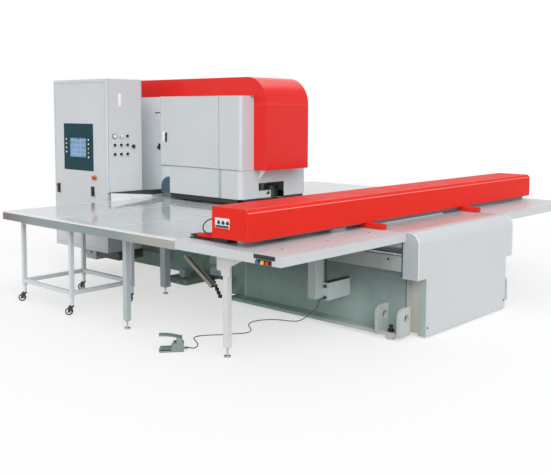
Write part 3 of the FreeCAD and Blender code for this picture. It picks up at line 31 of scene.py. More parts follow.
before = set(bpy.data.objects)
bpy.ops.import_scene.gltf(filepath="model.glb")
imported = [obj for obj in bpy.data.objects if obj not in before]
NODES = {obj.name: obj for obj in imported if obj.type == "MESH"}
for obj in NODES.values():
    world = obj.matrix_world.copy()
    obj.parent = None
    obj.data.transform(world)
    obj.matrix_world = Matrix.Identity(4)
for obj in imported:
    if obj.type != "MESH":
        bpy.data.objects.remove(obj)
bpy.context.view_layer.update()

LEFT, FRONT, UP = (-1, 0, 0), (0, -1, 0), (0, 0, 1)

# ---- where the materials change ----
# tables
TABLE_TOP = 0.95
TABLE_HALF = 2.52
TABLE_BACK = 1.34
TURRET_Y = 0.46
SLOT_EDGE = 0.876          # inner edge of the side tables
SEAMS = (-0.44, 0.47)      # joints across the side tables
CROSS_SEAM = 1.41          # joint along them, behind the rear seam
BORDER = 0.045             # pale border along their outer edge
JOINT_W = 0.016
TURRET_SHADE_HALF = 0.532           # painted shade on the centre table, below the turret
TURRET_SHADE_Y = (0.385, 0.575)     # its middle and half length
DULL_Y = (-1.75, -2.15)    # the plates turn dull between these lines

# base
BASE_FADE = (-0.7, -2.4)   # from the rear colours to the front ones
UNDER_TABLE_SHADE_Z = (0.20, 0.50)      # painted shade under the tables darkens the walls from the first height to the second
STAINED_FROM = -0.552      # darker colours with oil stains behind this line
STAINS_Y = (0.0, 0.6, 0.4)  # middle, half length and fade of its stains
WALL_SEAM = (-0.575, 0.006, 0.004)
SEAM_OUT = 0.838
LEDGE_OUT = 0.8405
LEDGE_LOW = 0.598
LEDGE_BACK = -0.6
FLANGE_OUT = 0.8415
FLANGE_TOP = (0.066, 0.067)
SOLE_FROM = (-1.6, 0.6)    # the flange pales in front of this line, over this length: beige-grey paint and a painted highlight on its top
LUG_Y = (-2.475, 0.135)    # middle and half length
LUG_Z = (0.18, 0.1135)
STEP_FRONT = -2.5590
STEP_OUT = (0.795, 0.0465)
JACK_X = 0.945
JACK_Y = -2.475
JACK_REACH = 0.06
JACK_LOW = 0.0655

# covers, clamps and legs
CREASE_HIGHLIGHT = (2.08, 0.003, 0.003)   # painted highlight where the nose's front turns into its round
JAW_TIP = (-1.500, 1.0)    # the clamps' jaws are dark beyond this line and below this height
CHEEK_FRONT = 0.9805
COVER_SIDE = 0.8885
COVER_RIM_HIGHLIGHT = (0.883, 0.006, 0.003)
LOW_COVER = (0.750, 0.0015, 0.001)
LOW_COVER_TOP = 0.5385
LOW_FOLD = (-2.160, 1.222)      # y and z of the folds of the crossrail cover's chamfer
HIGH_FOLD = (-2.132, 1.2485)
DUCT_FRONT = -1.8825
BACK_LEGS_FROM = -1.2
CHUTE_X = -1.0
CHUTE_FLOOR = 0.0245


# ---- node trees ----
def feed(tree, node, inputs):
    """Sets a node's inputs to values or links them to outputs."""
    for key, value in inputs.items():
        if isinstance(value, bpy.types.NodeSocket):
            tree.links.new(value, node.inputs[key])
        else:
            node.inputs[key].default_value = value


def add(tree, kind, inputs=None, **settings):
    """A shader node with its settings and inputs."""
    made = tree.nodes.new("ShaderNode" + kind)
    for key, value in settings.items():
        setattr(made, key, value)
    feed(tree, made, inputs or {})
    return made


def linked(name, data):
    made = bpy.data.objects.new(name, data)
    bpy.context.scene.collection.objects.link(made)
    return made


def new_material(name):
    material = bpy.data.materials.new(name)
    material.use_nodes = True
    return material, material.node_tree


def rgba(colour):
    return (*colour, 1.0)


def shade(colour, factor):
    return tuple(min(1.0, channel * factor) for channel in colour)


def place(tree, stretch=(1, 1, 1)):
    """Coordinates in the row frame, stretched for a pattern with a direction."""
    source = add(tree, "TexCoord")
    return add(tree, "Mapping", {"Vector": source.outputs["Object"], "Scale": stretch}).outputs[0]


def noise(tree, scale, detail=3.0, stretch=(1, 1, 1), rough=0.5):
    made = add(tree, "TexNoise",
               {"Vector": place(tree, stretch), "Scale": scale, "Detail": detail, "Roughness": rough})
    return made.outputs["Fac"]


def spread(tree, value, low, high, start=0.3, end=0.7):
    """Maps a pattern's usual range to a pair of values."""
    made = add(tree, "MapRange",
               {"Value": value, "From Min": start, "From Max": end, "To Min": low, "To Max": high})
    return made.outputs["Result"]


def blend(tree, factor, first, second, mode="MIX"):
    inputs = {0: factor, 6: first, 7: second}
    return add(tree, "Mix", inputs, data_type="RGBA", blend_type=mode).outputs[2]


def maths(tree, operation, first, second=0.5):
    return add(tree, "Math", {0: first, 1: second}, operation=operation).outputs[0]


def parts_of(tree):
    """The x, y and z sockets of a point on the machine."""
    spot = add(tree, "TexCoord").outputs["Object"]
    return add(tree, "SeparateXYZ", {0: spot}).outputs


def side_of(tree):
    """How far a point is from the machine's centre plane, and its y and z."""
    x, y, z = parts_of(tree)
    return maths(tree, "ABSOLUTE", x), y, z


def above(tree, value, start, soft=0.002):
    """0 below a limit and 1 above it."""
    return spread(tree, value, 0.0, 1.0, start, start + soft)


def below(tree, value, start, soft=0.002):
    """1 below a limit and 0 above it."""
    return above(tree, maths(tree, "MULTIPLY", value, -1), -start, soft)


def near(tree, value, middle, half, soft=0.002):
    """1 in a band about a coordinate and 0 outside it."""
    away = maths(tree, "ABSOLUTE", maths(tree, "SUBTRACT", value, middle))
    return spread(tree, away, 1.0, 0.0, half, half + soft)


def both(tree, *masks):
    """The product of masks and of plain strengths."""
    return reduce(lambda found, mask: maths(tree, "MULTIPLY", found, mask), masks)


def any_of(tree, *masks):
    return reduce(lambda found, mask: maths(tree, "MAXIMUM", found, mask), masks)


def tint(tree, tone, colour, *masks):
    """Colours a tone where all its masks are 1."""
    return blend(tree, both(tree, *masks), tone, rgba(colour))


def dimmed(tree, tone, light):
    """A tone multiplied by a grey."""
    grey = add(tree, "CombineXYZ", {0: light, 1: light, 2: light}).outputs[0]
    return blend(tree, 1.0, tone, grey, "MULTIPLY")


def clouded(tree, colour, scale, detail, darker, lighter):
    """A colour shaded by a noise between two factors."""
    cloud = spread(tree, noise(tree, scale, detail), 0.0, 1.0)
    return blend(tree, cloud, rgba(shade(colour, darker)), rgba(shade(colour, lighter)))


def edge_mask(tree, radius):
    """0 on flat faces, rising to 1 along sharp edges, with the softened normal that shows it."""
    soft = add(tree, "Bevel", {"Radius": radius}, samples=4).outputs[0]
    flat = add(tree, "NewGeometry").outputs["Normal"]
    same = add(tree, "VectorMath", {0: soft, 1: flat}, operation="DOT_PRODUCT").outputs["Value"]
    return spread(tree, same, 1.0, 0.0, 0.80, 0.995), soft


def finish_shader(tree, colour, roughness, height, strength, depth, normal=None, **others):
    """Feeds the shader: colour, roughness, a bump, and other sockets by their names with _ for a space."""
    inputs = {"Height": height, "Strength": strength, "Distance": depth}
    if normal is not None:
        inputs["Normal"] = normal
    bumpy = add(tree, "Bump", inputs).outputs[0]
    fed = {"Base Color": colour, "Roughness": roughness, "Normal": bumpy}
    fed.update((key.replace("_", " "), value) for key, value in others.items())
    feed(tree, tree.nodes["Principled BSDF"], fed)


# ---- materials ----
# Noises are given by scale and detail, bumps by strength and depth in metres.
COAT_ROUGHNESS = 0.12


def paint(name, colour, roughness=0.4, coat=0.0, wear_and_highlight=1.1, mottle=0.02, radius=0.003, specular=0.5,
          casts=(), rim=None, haze=0.12):
    """Powder-coated sheet steel: faint cloudiness, fine orange peel and lighter edges, from wear and from a
    painted highlight. Each cast is a colour with the function that gives its mask; rim is the colour of the
    edges' painted highlight, haze how much the gloss varies."""
    material, tree = new_material(name)
    tone = clouded(tree, colour, 1.7, 4, 1 - mottle, 1 + mottle)
    for cast, mask in casts:
        tone = tint(tree, tone, cast, mask(tree))
    edge, soft = edge_mask(tree, radius)
    rubbed = spread(tree, noise(tree, 24, 5), 0.2, 1.0)
    # lighter edges: worn paint and painted highlight
    tone = tint(tree, tone, rim or shade(colour, wear_and_highlight), edge, rubbed)
    rough = spread(tree, noise(tree, 7, 3), roughness - 0.4 * haze, roughness + 0.6 * haze)
    finish_shader(tree, tone, rough, noise(tree, 260, 2), 0.25, 0.0006, soft, Coat_Weight=coat,
                  Coat_Roughness=COAT_ROUGHNESS, Specular_IOR_Level=specular)
    return material


def stained_paint(name, colour, stain, roughness=0.5):
    """Uneven paint on cast or welded parts, with stains that run down."""
    material, tree = new_material(name)
    tone = clouded(tree, colour, 2.4, 6, 0.93, 1.06)
    runs = spread(tree, noise(tree, 3.2, 6, (1, 1, 0.25)), 0.0, 0.55, 0.52, 0.78)
    tone = tint(tree, tone, stain, runs)
    edge, soft = edge_mask(tree, 0.004)
    tone = tint(tree, tone, shade(colour, 1.25), edge, 0.6)
    rough = spread(tree, noise(tree, 12, 4), roughness - 0.08, roughness + 0.1)
    finish_shader(tree, tone, rough, noise(tree, 90, 4), 0.3, 0.001, soft)
    return material


BASE_REAR = (0.268, 0.385, 0.338)
BASE_FORE = (0.335, 0.430, 0.415)
BASE_DARK_REAR = (0.225, 0.330, 0.285)
BASE_OIL = (0.050, 0.075, 0.062)
LEDGE_REAR = (0.20, 0.26, 0.23)
LEDGE_FORE = (0.35, 0.385, 0.365)
LUG_GREY = (0.48, 0.52, 0.505)
SOLE_GREY_AND_HIGHLIGHT = (0.50, 0.515, 0.485)
STEP_BEIGE = (0.47, 0.46, 0.41)
WELD_GREY = (0.45, 0.55, 0.50)
RUN_GREEN = (0.130, 0.175, 0.155)
WORN_EDGE = (0.55, 0.63, 0.60)


def base_paint(name):
    """The welded base: green-grey, darker towards its top with painted shade under the tables and stained round
    the drive at the rear, with paler ledges and lugs and a beige front step."""
    material, tree = new_material(name)
    out, y, z = side_of(tree)
    forward = spread(tree, y, 0.0, 1.0, *BASE_FADE)
    tone = blend(tree, forward, rgba(BASE_REAR), rgba(BASE_FORE))
    # painted shade: the walls turn darker towards their top, under the tables
    under_table_shade = spread(tree, z, 1.0, 0.52, *UNDER_TABLE_SHADE_Z)
    tone = dimmed(tree, tone, both(tree, spread(tree, noise(tree, 2.1, 6), 0.86, 1.12), under_table_shade))
    stains = spread(tree, noise(tree, 5.0, 7, (1, 1, 0.5), 0.65), 0.0, 1.0, 0.50, 0.70)
    dark_rear = blend(tree, both(tree, stains, near(tree, y, *STAINS_Y)), rgba(BASE_DARK_REAR), rgba(BASE_OIL))
    tone = blend(tree, above(tree, y, STAINED_FROM, 0.004), tone, dark_rear)
    ledge = both(tree, above(tree, out, LEDGE_OUT), above(tree, z, LEDGE_LOW), below(tree, y, LEDGE_BACK))
    paler = blend(tree, forward, rgba(LEDGE_REAR), rgba(LEDGE_FORE))
    tone = blend(tree, both(tree, ledge, 0.85), tone, paler)
    flange = above(tree, out, FLANGE_OUT)
    tone = tint(tree, tone, LUG_GREY, flange, near(tree, y, *LUG_Y), near(tree, z, *LUG_Z))
    # a paler flange in front: beige-grey paint and, in part, a painted highlight on its lit top
    low = spread(tree, z, 1.0, 0.0, *FLANGE_TOP)
    tone = tint(tree, tone, SOLE_GREY_AND_HIGHLIGHT, flange, low, below(tree, y, *SOLE_FROM), 0.8)
    tone = tint(tree, tone, STEP_BEIGE, below(tree, y, STEP_FRONT), near(tree, out, *STEP_OUT), 0.9)
    tone = tint(tree, tone, WELD_GREY, near(tree, y, *WALL_SEAM), above(tree, out, SEAM_OUT), 0.5)
    runs = spread(tree, noise(tree, 3.4, 6, (1, 1, 0.22)), 0.0, 0.40, 0.55, 0.80)
    tone = tint(tree, tone, RUN_GREEN, runs)
    edge, soft = edge_mask(tree, 0.004)
    tone = tint(tree, tone, WORN_EDGE, edge, 0.5)
    rough = spread(tree, noise(tree, 12, 4), 0.40, 0.58)
    finish_shader(tree, tone, rough, noise(tree, 90, 4), 0.3, 0.001, soft, Specular_IOR_Level=0.4)
    return material


def brushed(name, colour, stretch, roughness, metallic, casts):
    """Brushed steel whose scratches run along the short side of the stretch; casts are (colour, y, reach),
    painted reflections that colour it along the machine."""
    material, tree = new_material(name)
    lines = noise(tree, 1.0, 5, stretch, 0.7)
    cloud = noise(tree, 2.0, 4)
    mixed = maths(tree, "ADD", both(tree, lines, 0.7), both(tree, cloud, 0.3))
    mixed = spread(tree, mixed, 0.0, 1.0, 0.38, 0.62)
    y = parts_of(tree)[1]
    tone = rgba(colour)
    for cast, middle, reach in casts:
        tone = tint(tree, tone, cast, near(tree, y, middle, reach, 0.5))
    tone = dimmed(tree, tone, spread(tree, mixed, 0.90, 1.10, 0.0, 1.0))
    edge, soft = edge_mask(tree, 0.002)
    tone = tint(tree, tone, shade(colour, 1.3), edge, 0.7)
    rough = spread(tree, lines, roughness - 0.05, roughness + 0.06)
    finish_shader(tree, tone, rough, lines, 0.2, 0.0004, soft, Metallic=metallic)
    return material


JOINT_WHITE = (0.82, 0.82, 0.82)
TURRET_SHADE_COLOUR = (0.050, 0.062, 0.055)
PLATE_EDGE = (0.86, 0.87, 0.87)


def table_face(name, colour):
    """Lacquered steel plate: faint long scratches, small scuffs, a pale border and pale joint strips; dark
    with painted shade and duller below the turret, duller towards the loading side."""
    material, tree = new_material(name)
    lines = noise(tree, 1.0, 6, (3.0, 140.0, 3.0), 0.6)
    tone = clouded(tree, colour, 1.1, 5, 0.95, 1.04)
    tone = tint(tree, tone, shade(colour, 1.08), spread(tree, lines, 0.0, 0.5, 0.45, 0.7))
    scuff = spread(tree, noise(tree, 38, 6, rough=0.7), 0.0, 0.6, 0.60, 0.75)
    tone = tint(tree, tone, shade(colour, 0.88), scuff)
    out, y, z = side_of(tree)
    strips = [near(tree, y, seam, JOINT_W / 2) for seam in SEAMS]
    cross = both(tree, near(tree, out, CROSS_SEAM, JOINT_W / 2), above(tree, y, SEAMS[1]))
    border = any_of(tree, above(tree, out, TABLE_HALF - BORDER), above(tree, y, TABLE_BACK - BORDER))
    pale = both(tree, any_of(tree, *strips, cross, border), above(tree, out, SLOT_EDGE))
    tone = tint(tree, tone, JOINT_WHITE, pale, 0.85)
    # painted shade: the table is darker below the turret, inside the skirt
    turret_shade = both(tree, near(tree, out, 0.0, TURRET_SHADE_HALF), near(tree, y, *TURRET_SHADE_Y))
    tone = tint(tree, tone, TURRET_SHADE_COLOUR, turret_shade)
    dull = any_of(tree, both(tree, turret_shade, 0.35), spread(tree, y, 0.0, 0.13, *DULL_Y))
    edge, soft = edge_mask(tree, 0.002)
    tone = tint(tree, tone, PLATE_EDGE, edge)
    rough = maths(tree, "ADD", spread(tree, noise(tree, 3.0, 5), 0.05, 0.11), both(tree, pale, 0.25))
    rough = maths(tree, "ADD", rough, dull)
    finish_shader(tree, tone, rough, lines, 0.05, 0.0004, soft, Metallic=0.1, IOR=1.6)
    return material


def machined(name, colour, roughness=0.28, metallic=1.0, cast=None):
    """Turned or ground steel with an oily film; a cast is a colour with the function that gives its mask."""
    material, tree = new_material(name)
    tone = clouded(tree, colour, 9, 5, 0.82, 1.12)
    edge, soft = edge_mask(tree, 0.002)
    tone = tint(tree, tone, shade(colour, 1.5), edge)
    if cast:
        tone = tint(tree, tone, cast[0], cast[1](tree))
    rough = spread(tree, noise(tree, 30, 4), roughness - 0.07, roughness + 0.1)
    finish_shader(tree, tone, rough, noise(tree, 500, 2), 0.15, 0.0003, soft, Metallic=metallic)
    return material


CHUTE_WALLS = ((0.60, 0.57, 0.47), (0.42, 0.41, 0.34), (0.80, 0.78, 0.68))   # clean, dirty and at the edges
CHUTE_DIRT = ((0.055, 0.060, 0.040), (0.12, 0.12, 0.08))


def chute_metal(name):
    """Worn channel: bare bright walls and an oily dark floor."""
    material, tree = new_material(name)
    floor = near(tree, parts_of(tree)[0], CHUTE_X, CHUTE_FLOOR)
    dirt = spread(tree, noise(tree, 40, 5), 0.0, 1.0)
    clean, dull, rim = (rgba(colour) for colour in CHUTE_WALLS)
    dark = blend(tree, dirt, *(rgba(colour) for colour in CHUTE_DIRT))
    edge, soft = edge_mask(tree, 0.002)
    tone = blend(tree, floor, blend(tree, edge, blend(tree, dirt, clean, dull), rim), dark)
    rough = spread(tree, noise(tree, 60, 4), 0.35, 0.6)
    finish_shader(tree, tone, rough, dirt, 0.2, 0.0005, soft)
    return material


RUBBER_DUST = (0.09, 0.09, 0.09)


def rubber(name, colour, roughness):
    """Cable or tyre rubber with patches of dust."""
    material, tree = new_material(name)
    dust = spread(tree, noise(tree, 60, 5), 0.0, 0.35, 0.45, 0.75)
    tone = blend(tree, dust, rgba(colour), rgba(RUBBER_DUST))
    rough = spread(tree, noise(tree, 140, 3), roughness - 0.08, roughness + 0.1)
    finish_shader(tree, tone, rough, noise(tree, 900, 2), 0.2, 0.0003)
    return material


def plastic(name, colour, roughness):
    """Moulded plastic with a faint texture and pale rubbed edges."""
    material, tree = new_material(name)
    tone = clouded(tree, colour, 45, 3, 0.93, 1.05)
    edge, soft = edge_mask(tree, 0.0015)
    tone = tint(tree, tone, [0.5 * channel + 0.45 for channel in colour], edge, 0.4)
    rough = spread(tree, noise(tree, 80, 3), roughness - 0.04, roughness + 0.08)
    finish_shader(tree, tone, rough, noise(tree, 1400, 2), 0.12, 0.0002, soft)
    return material


PANE_BLUES = ((0.105, 0.215, 0.38), (0.155, 0.285, 0.46), (0.34, 0.48, 0.62))   # two panes and their frames
PANE_SIZE = (0.112, 0.0565)
PANE_GAP = 0.0022
ROW_WHITE = (0.62, 0.74, 0.82)
SCREEN_GLOW = 0.18


def screen_face(name):
    """A lit screen with plain panes and rows, no writing."""
    material, tree = new_material(name)
    x, y, z = parts_of(tree)
    flat = add(tree, "CombineXYZ", {0: y, 1: z}).outputs[0]
    first, second, frames = (rgba(colour) for colour in PANE_BLUES)
    panes = add(tree, "TexBrick", {
        "Vector": flat, "Color1": first, "Color2": second, "Mortar": frames, "Scale": 1.0,
        "Mortar Size": PANE_GAP, "Mortar Smooth": 0.3, "Brick Width": PANE_SIZE[0],
        "Row Height": PANE_SIZE[1]}, offset=0.0).outputs["Color"]
    across = add(tree, "Mapping", {"Vector": flat, "Scale": (34, 120, 1)}).outputs[0]
    rows = add(tree, "TexNoise", {"Vector": across, "Scale": 1.0, "Detail": 1.0}).outputs["Fac"]
    tone = tint(tree, panes, ROW_WHITE, spread(tree, rows, 0.0, 0.30, 0.54, 0.62))
    rough = spread(tree, noise(tree, 20, 3), 0.12, 0.2)
    finish_shader(tree, tone, rough, noise(tree, 900, 1), 0.02, 0.0001,
                  Emission_Color=tone, Emission_Strength=SCREEN_GLOW, Specular_IOR_Level=0.2)
    return material


# ---- masks of single materials ----
def crease_highlight(tree):
    """A painted highlight along the fold where the nose's front turns into its round."""
    return near(tree, parts_of(tree)[2], *CREASE_HIGHLIGHT)


def jaw_tips(tree):
    """The clamps' dark ends over the sheet."""
    x, y, z = parts_of(tree)
    return both(tree, above(tree, y, JAW_TIP[0]), below(tree, z, JAW_TIP[1]))


def cheek_shade(tree):
    """Painted shade on the plates behind the lower cover's sides."""
    return above(tree, parts_of(tree)[1], CHEEK_FRONT, 0.001)


def jacks(tree):
    """The blackened bolts of the front flanges' levelling jacks."""
    out, y, z = side_of(tree)
    return both(tree, near(tree, out, JACK_X, JACK_REACH), near(tree, y, JACK_Y, JACK_REACH),
                above(tree, z, JACK_LOW))


# painted shade: the front cover's sides darker than its front
def cover_side_shade(tree):
    return above(tree, side_of(tree)[0], COVER_SIDE, 0.001)


def cover_rim_highlights(tree):
    """Painted highlights beside the front cover's rounded edges."""
    return both(tree, near(tree, side_of(tree)[0], *COVER_RIM_HIGHLIGHT), 0.8)


def beam_fold_highlights(tree):
    """Painted highlights along the two folds of the crossrail cover's chamfer."""
    x, y, z = parts_of(tree)
    low = both(tree, near(tree, z, LOW_FOLD[1], 0.0035), near(tree, y, LOW_FOLD[0], 0.002, 0.001))
    high = both(tree, near(tree, y, HIGH_FOLD[0], 0.0035), above(tree, z, HIGH_FOLD[1], 0.001))
    return both(tree, any_of(tree, low, high), 0.75)


def duct_part(tree):
    """The duct behind the junction box."""
    return above(tree, parts_of(tree)[1], DUCT_FRONT)


# painted shade: the legs behind this line are darker, deeper under the tables
def back_legs_shade(tree):
    return both(tree, above(tree, parts_of(tree)[1], BACK_LEGS_FROM), 0.9)


# painted shade: the lower cover's sides darker than its front
def low_cover_side_shade(tree):
    out, y, z = side_of(tree)
    return both(tree, near(tree, out, *LOW_COVER), below(tree, z, LOW_COVER_TOP))


RED = (0.76, 0.0135, 0.0095)
LIGHT = (0.585, 0.612, 0.628)

# paint takes name, colour, roughness, coat, the factor of edge wear and painted highlight, and mottle; machined
# takes name, colour, roughness, metallic
M = {
    # the nose cowl carries a painted highlight along its fold
    "red": paint("red_powder", RED, 0.32, 0.25, 1.25, 0.008, specular=0.25, haze=0.02,
                 casts=(((0.84, 0.045, 0.035), crease_highlight),)),
    # the crossrail cover: painted highlights along its chamfer's folds, and the rim colour as painted highlight
    # on its edges
    "beam_red": paint("beam_powder", (0.77, 0.028, 0.017), 0.46, 0.0, 1.0, radius=0.006, specular=0.08,
                      casts=(((0.030, 0.032, 0.030), jaw_tips), ((0.86, 0.34, 0.30), beam_fold_highlights)),
                      rim=(0.90, 0.17, 0.13)),
    "light": paint("light_powder", LIGHT, 0.40, 0.10, 1.15, specular=0.4),
    # the lower skirt's cheeks are dark with painted shade
    "skirt": paint("skirt_powder", LIGHT, 0.40, 0.10, 1.15, specular=0.4,
                   casts=(((0.050, 0.090, 0.120), cheek_shade),)),
    # the front cover: painted highlights on its rims and, by the raised edge factor, along its edges; painted
    # shade on its sides
    "cover": paint("cover_powder", LIGHT, 0.38, 0.10, 1.35, radius=0.006, specular=0.4,
                   casts=(((0.86, 0.88, 0.88), cover_rim_highlights), ((0.42, 0.455, 0.475), cover_side_shade),
                          ((0.38, 0.44, 0.41), low_cover_side_shade))),
    # paler than the machine's other grey paint: painted light on the frame's shaded sides
    "frame_grey": paint("bluish_powder_lightened", (0.82, 0.88, 0.92), 0.42, 0.1),
    "box_grey": paint("box_powder", (0.51, 0.575, 0.570), 0.42, 0.0, 1.2, 0.04,
                      casts=(((0.37, 0.41, 0.385), duct_part),)),
    # a lighter copy of the light paint: painted highlight
    "edge": paint("corner_highlight_powder", shade(LIGHT, 1.12), 0.40, 0.10, 1.1, 0.01, specular=0.4),
    "band": paint("band_powder", (0.36, 0.42, 0.48), 0.42, 0.1, 1.2),
    "housing": stained_paint("housing_paint", (0.42, 0.54, 0.56), (0.15, 0.20, 0.20)),
    # the rear legs carry painted shade
    "leg": paint("leg_powder", (0.70, 0.71, 0.69), 0.45, 0.0, 1.15, 0.04,
                 casts=(((0.42, 0.48, 0.51), back_legs_shade),)),
    "cart": paint("cart_powder", (0.62, 0.66, 0.69), 0.40, 0.1, 1.2, 0.03),
    "base": base_paint("base_paint"),
    "table": table_face("table_face", (0.60, 0.635, 0.65)),
    # painted reflections tint the apron along the machine
    "apron": brushed("apron_brushed", (0.39, 0.385, 0.355), (2.0, 2.0, 260.0), 0.42, 0.35,
                     casts=(((0.250, 0.305, 0.312), 0.35, 0.95), ((0.19, 0.15, 0.15), 1.34, 0.10))),
    "steel": machined("machined_steel", (0.44, 0.45, 0.46)),
    "ram": machined("ram_steel", (0.30, 0.37, 0.33), 0.38, 0.4),
    # near black: painted shade below the clamps
    "carriage": machined("carriage_steel_shaded", (0.050, 0.056, 0.058), 0.4, 0.6),
    "turret": machined("turret_steel", (0.20, 0.27, 0.24), 0.36, 0.4),
    "tool": machined("tool_steel", (0.33, 0.40, 0.37), 0.30, 0.5),
    "zinc": machined("zinc_plate", (0.52, 0.52, 0.50), 0.35, 0.8, ((0.020, 0.022, 0.022), jacks)),
    "chute": chute_metal("chute_metal"),
    "dark_metal": paint("dark_enamel", (0.020, 0.024, 0.027), 0.38, 0.1, 1.9, 0.1),
    "slate": paint("slate_enamel", (0.030, 0.048, 0.065), 0.4, 0.1, 1.6, 0.08),
    "console": paint("console_enamel", (0.0085, 0.046, 0.060), 0.40, 0.0, 2.0, 0.10, specular=0.12),
    "screen": screen_face("screen_panes"),
    "black": plastic("black_plastic", (0.014, 0.015, 0.016), 0.3),
    "white": plastic("white_plastic", (0.82, 0.82, 0.80), 0.3),
    "pale": paint("pale_plate", (0.88, 0.89, 0.90), 0.35),
    "seam": paint("seam_shadow", (0.20, 0.25, 0.30), 0.5),
    "strip": paint("pale_strip", (0.74, 0.76, 0.775)),
    "olive_grey": paint("teal_reflection_strip", (0.42, 0.50, 0.49), mottle=0.06),
    "olive": paint("dark_olive_enamel", (0.040, 0.058, 0.040), 0.42, 0.0, 1.6, 0.15),
    "stop_red": plastic("red_plastic", (0.62, 0.020, 0.015), 0.22),
    "blue": plastic("blue_plastic", (0.060, 0.095, 0.33), 0.22),
    "yellow": plastic("yellow_plastic", (0.80, 0.52, 0.03), 0.22),
    "green": plastic("green_plastic", (0.42, 0.58, 0.10), 0.22),
    "pedal": stained_paint("pedal_paint", (0.20, 0.27, 0.24), (0.09, 0.12, 0.11), 0.4),
    "rubber": rubber("cable_rubber", (0.018, 0.019, 0.021), 0.62),
    "tyre": rubber("tyre_rubber", (0.024, 0.025, 0.026), 0.55),
}

NODE_FINISH = {
    "red": "nose_cowl",
    "beam_red": "crossrail_cover crossrail_feet clamp_jaw_1 clamp_jaw_2 clamp_jaw_3",
    "light": "front_tables turret_hoods turret_door cabinet cabinet_panel",
    "box_grey": "junction_box",
    "skirt": "lower_skirt",
    "cover": "front_cover",
    "frame_grey": "c_frame",
    "housing": "drive_housing",
    "leg": "table_legs",
    "cart": "cart_frame",
    "base": "base_frame",
    "table": "centre_table rear_table_plates",
    "apron": "rear_table_frames",
    "steel": "y_rails x_rails crossrail_beam",
    "ram": "ram_cylinder striker",
    "carriage": "x_carriage",
    "turret": "upper_turret lower_turret turret_bearings",
    "chute": "slug_chute",
    "tool": "punches active_punch dies",
    "zinc": "levelling_feet",
    "dark_metal": "castor_fork_1 castor_fork_2 castor_fork_3 castor_fork_4",
    "slate": "door_latch",
    "console": "console",
    "screen": "screen",
    "black": "station cabinet_controls key_switch",
    "stop_red": "stop_button red_button",
    "blue": "blue_button",
    "yellow": "yellow_button",
    "white": "end_plate",
    "pedal": "pedal_housing pedal_treadle",
    "rubber": "pedal_cord box_cable clamp_hose",
    "tyre": "castor_wheel_1 castor_wheel_2 castor_wheel_3 castor_wheel_4",
}


def dress_nodes():
    for finish, names in NODE_FINISH.items():
        for name in names.split():
            for slot in NODES[name].material_slots:
                slot.material = M[finish]


# ---- making pieces ----
SHARP_ANGLE = 0.6
BEVEL_STEPS = 2
LATHE_STEPS = 24
SLOTS = {                  # slot names of finishes, looked up where a piece names none, but not given to the piece
    "black": "dark_steel", "olive": "dark_steel", "pale": "white_plate", "white": "white_plate",
    "strip": "white_plate", "yellow": "button_yellow", "green": "button_yellow", "stop_red": "stop_red",
    "box_grey": "grey_paint", "olive_grey": "grey_paint", "base": "grey_paint", "band": "light_paint",
    "light": "light_paint",
}
SUNK = 0.001               # how deep a flat piece sits in the face that carries it


def show(name, mesh, finish, body="press", slot=None):
    """Links a mesh as a piece that rides on a body."""
    made = linked(name, mesh)
    mesh.materials.append(M[finish])
    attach(made, body)
    slot = slot or SLOTS.get(finish)


def mesh_of(name, bm):
    mesh = bpy.data.meshes.new(name)
    bmesh.ops.recalc_face_normals(bm, faces=bm.faces)
    bm.to_mesh(mesh)
    bm.free()
    for polygon in mesh.polygons:
        polygon.use_smooth = True
    mesh.set_sharp_from_angle(angle=SHARP_ANGLE)
    return mesh


def add_block(bm, low, high, soften):
    """A box between two corners with softened edges."""
    low, high = Vector(low), Vector(high)
    size, middle = high - low, (high + low) / 2
    scale = Matrix.Translation(middle) @ Matrix.Diagonal((*size, 1.0))
    made = bmesh.ops.create_cube(bm, size=1.0, matrix=scale)
    edges = list({edge for vertex in made["verts"] for edge in vertex.link_edges})
    bmesh.ops.bevel(bm, geom=edges, offset=soften, segments=BEVEL_STEPS, affect="EDGES", profile=0.5)


def join_rings(bm, rings):
    """Joins rings of points one after another and closes both ends."""
    for low, high in zip(rings, rings[1:]):
        for n in range(len(low)):
            m = (n + 1) % len(low)
            bm.faces.new((low[n], low[m], high[m], high[n]))
    bm.faces.new(list(reversed(rings[0])))
    bm.faces.new(rings[-1])


def add_lathe(bm, profile, base, axis):
    """Turns (radius, height) points about an axis that starts at a base point."""
    turn = Vector(UP).rotation_difference(Vector(axis)).to_matrix().to_4x4()
    place_it = Matrix.Translation(Vector(base)) @ turn
    angles = [2 * math.pi * n / LATHE_STEPS for n in range(LATHE_STEPS)]
    rings = []
    for radius, height in profile:
        spots = [Vector((radius * math.cos(angle), radius * math.sin(angle), height)) for angle in angles]
        rings.append([bm.verts.new(place_it @ spot) for spot in spots])
    join_rings(bm, rings)


def piece(name, finish, blocks=(), turned=(), body="press", soften=0.001, slot=None):
    """A piece of softened boxes and turned parts."""
    bm = bmesh.new()
    for low, high in blocks:
        add_block(bm, low, high, soften)
    for profile, base, axis in turned:
        add_lathe(bm, profile, base, axis)
    show(name, mesh_of(name, bm), finish, body, slot)


def sheet(name, finish, outline, spot, thickness, axis):
    """A flat plate: an outline of (across, z) points at a place on an axis, 0 for X and 1 for Y."""
    bm = bmesh.new()
    sides = [[bm.verts.new((at, across, z) if axis == 0 else (across, at, z)) for across, z in outline]
             for at in (spot, spot + thickness)]
    join_rings(bm, sides)
    show(name, mesh_of(name, bm), finish)


def cap(radius, height, round_by=0.002):
    """The profile of a button cap with a rounded rim and a shallow dish."""
    return [(radius, 0.0), (radius, height - round_by), (radius - 0.3 * round_by, height - 0.3 * round_by),
            (radius - round_by, height), (0.55 * radius, height - 0.15 * round_by),
            (0.0005, height - 0.2 * round_by)]


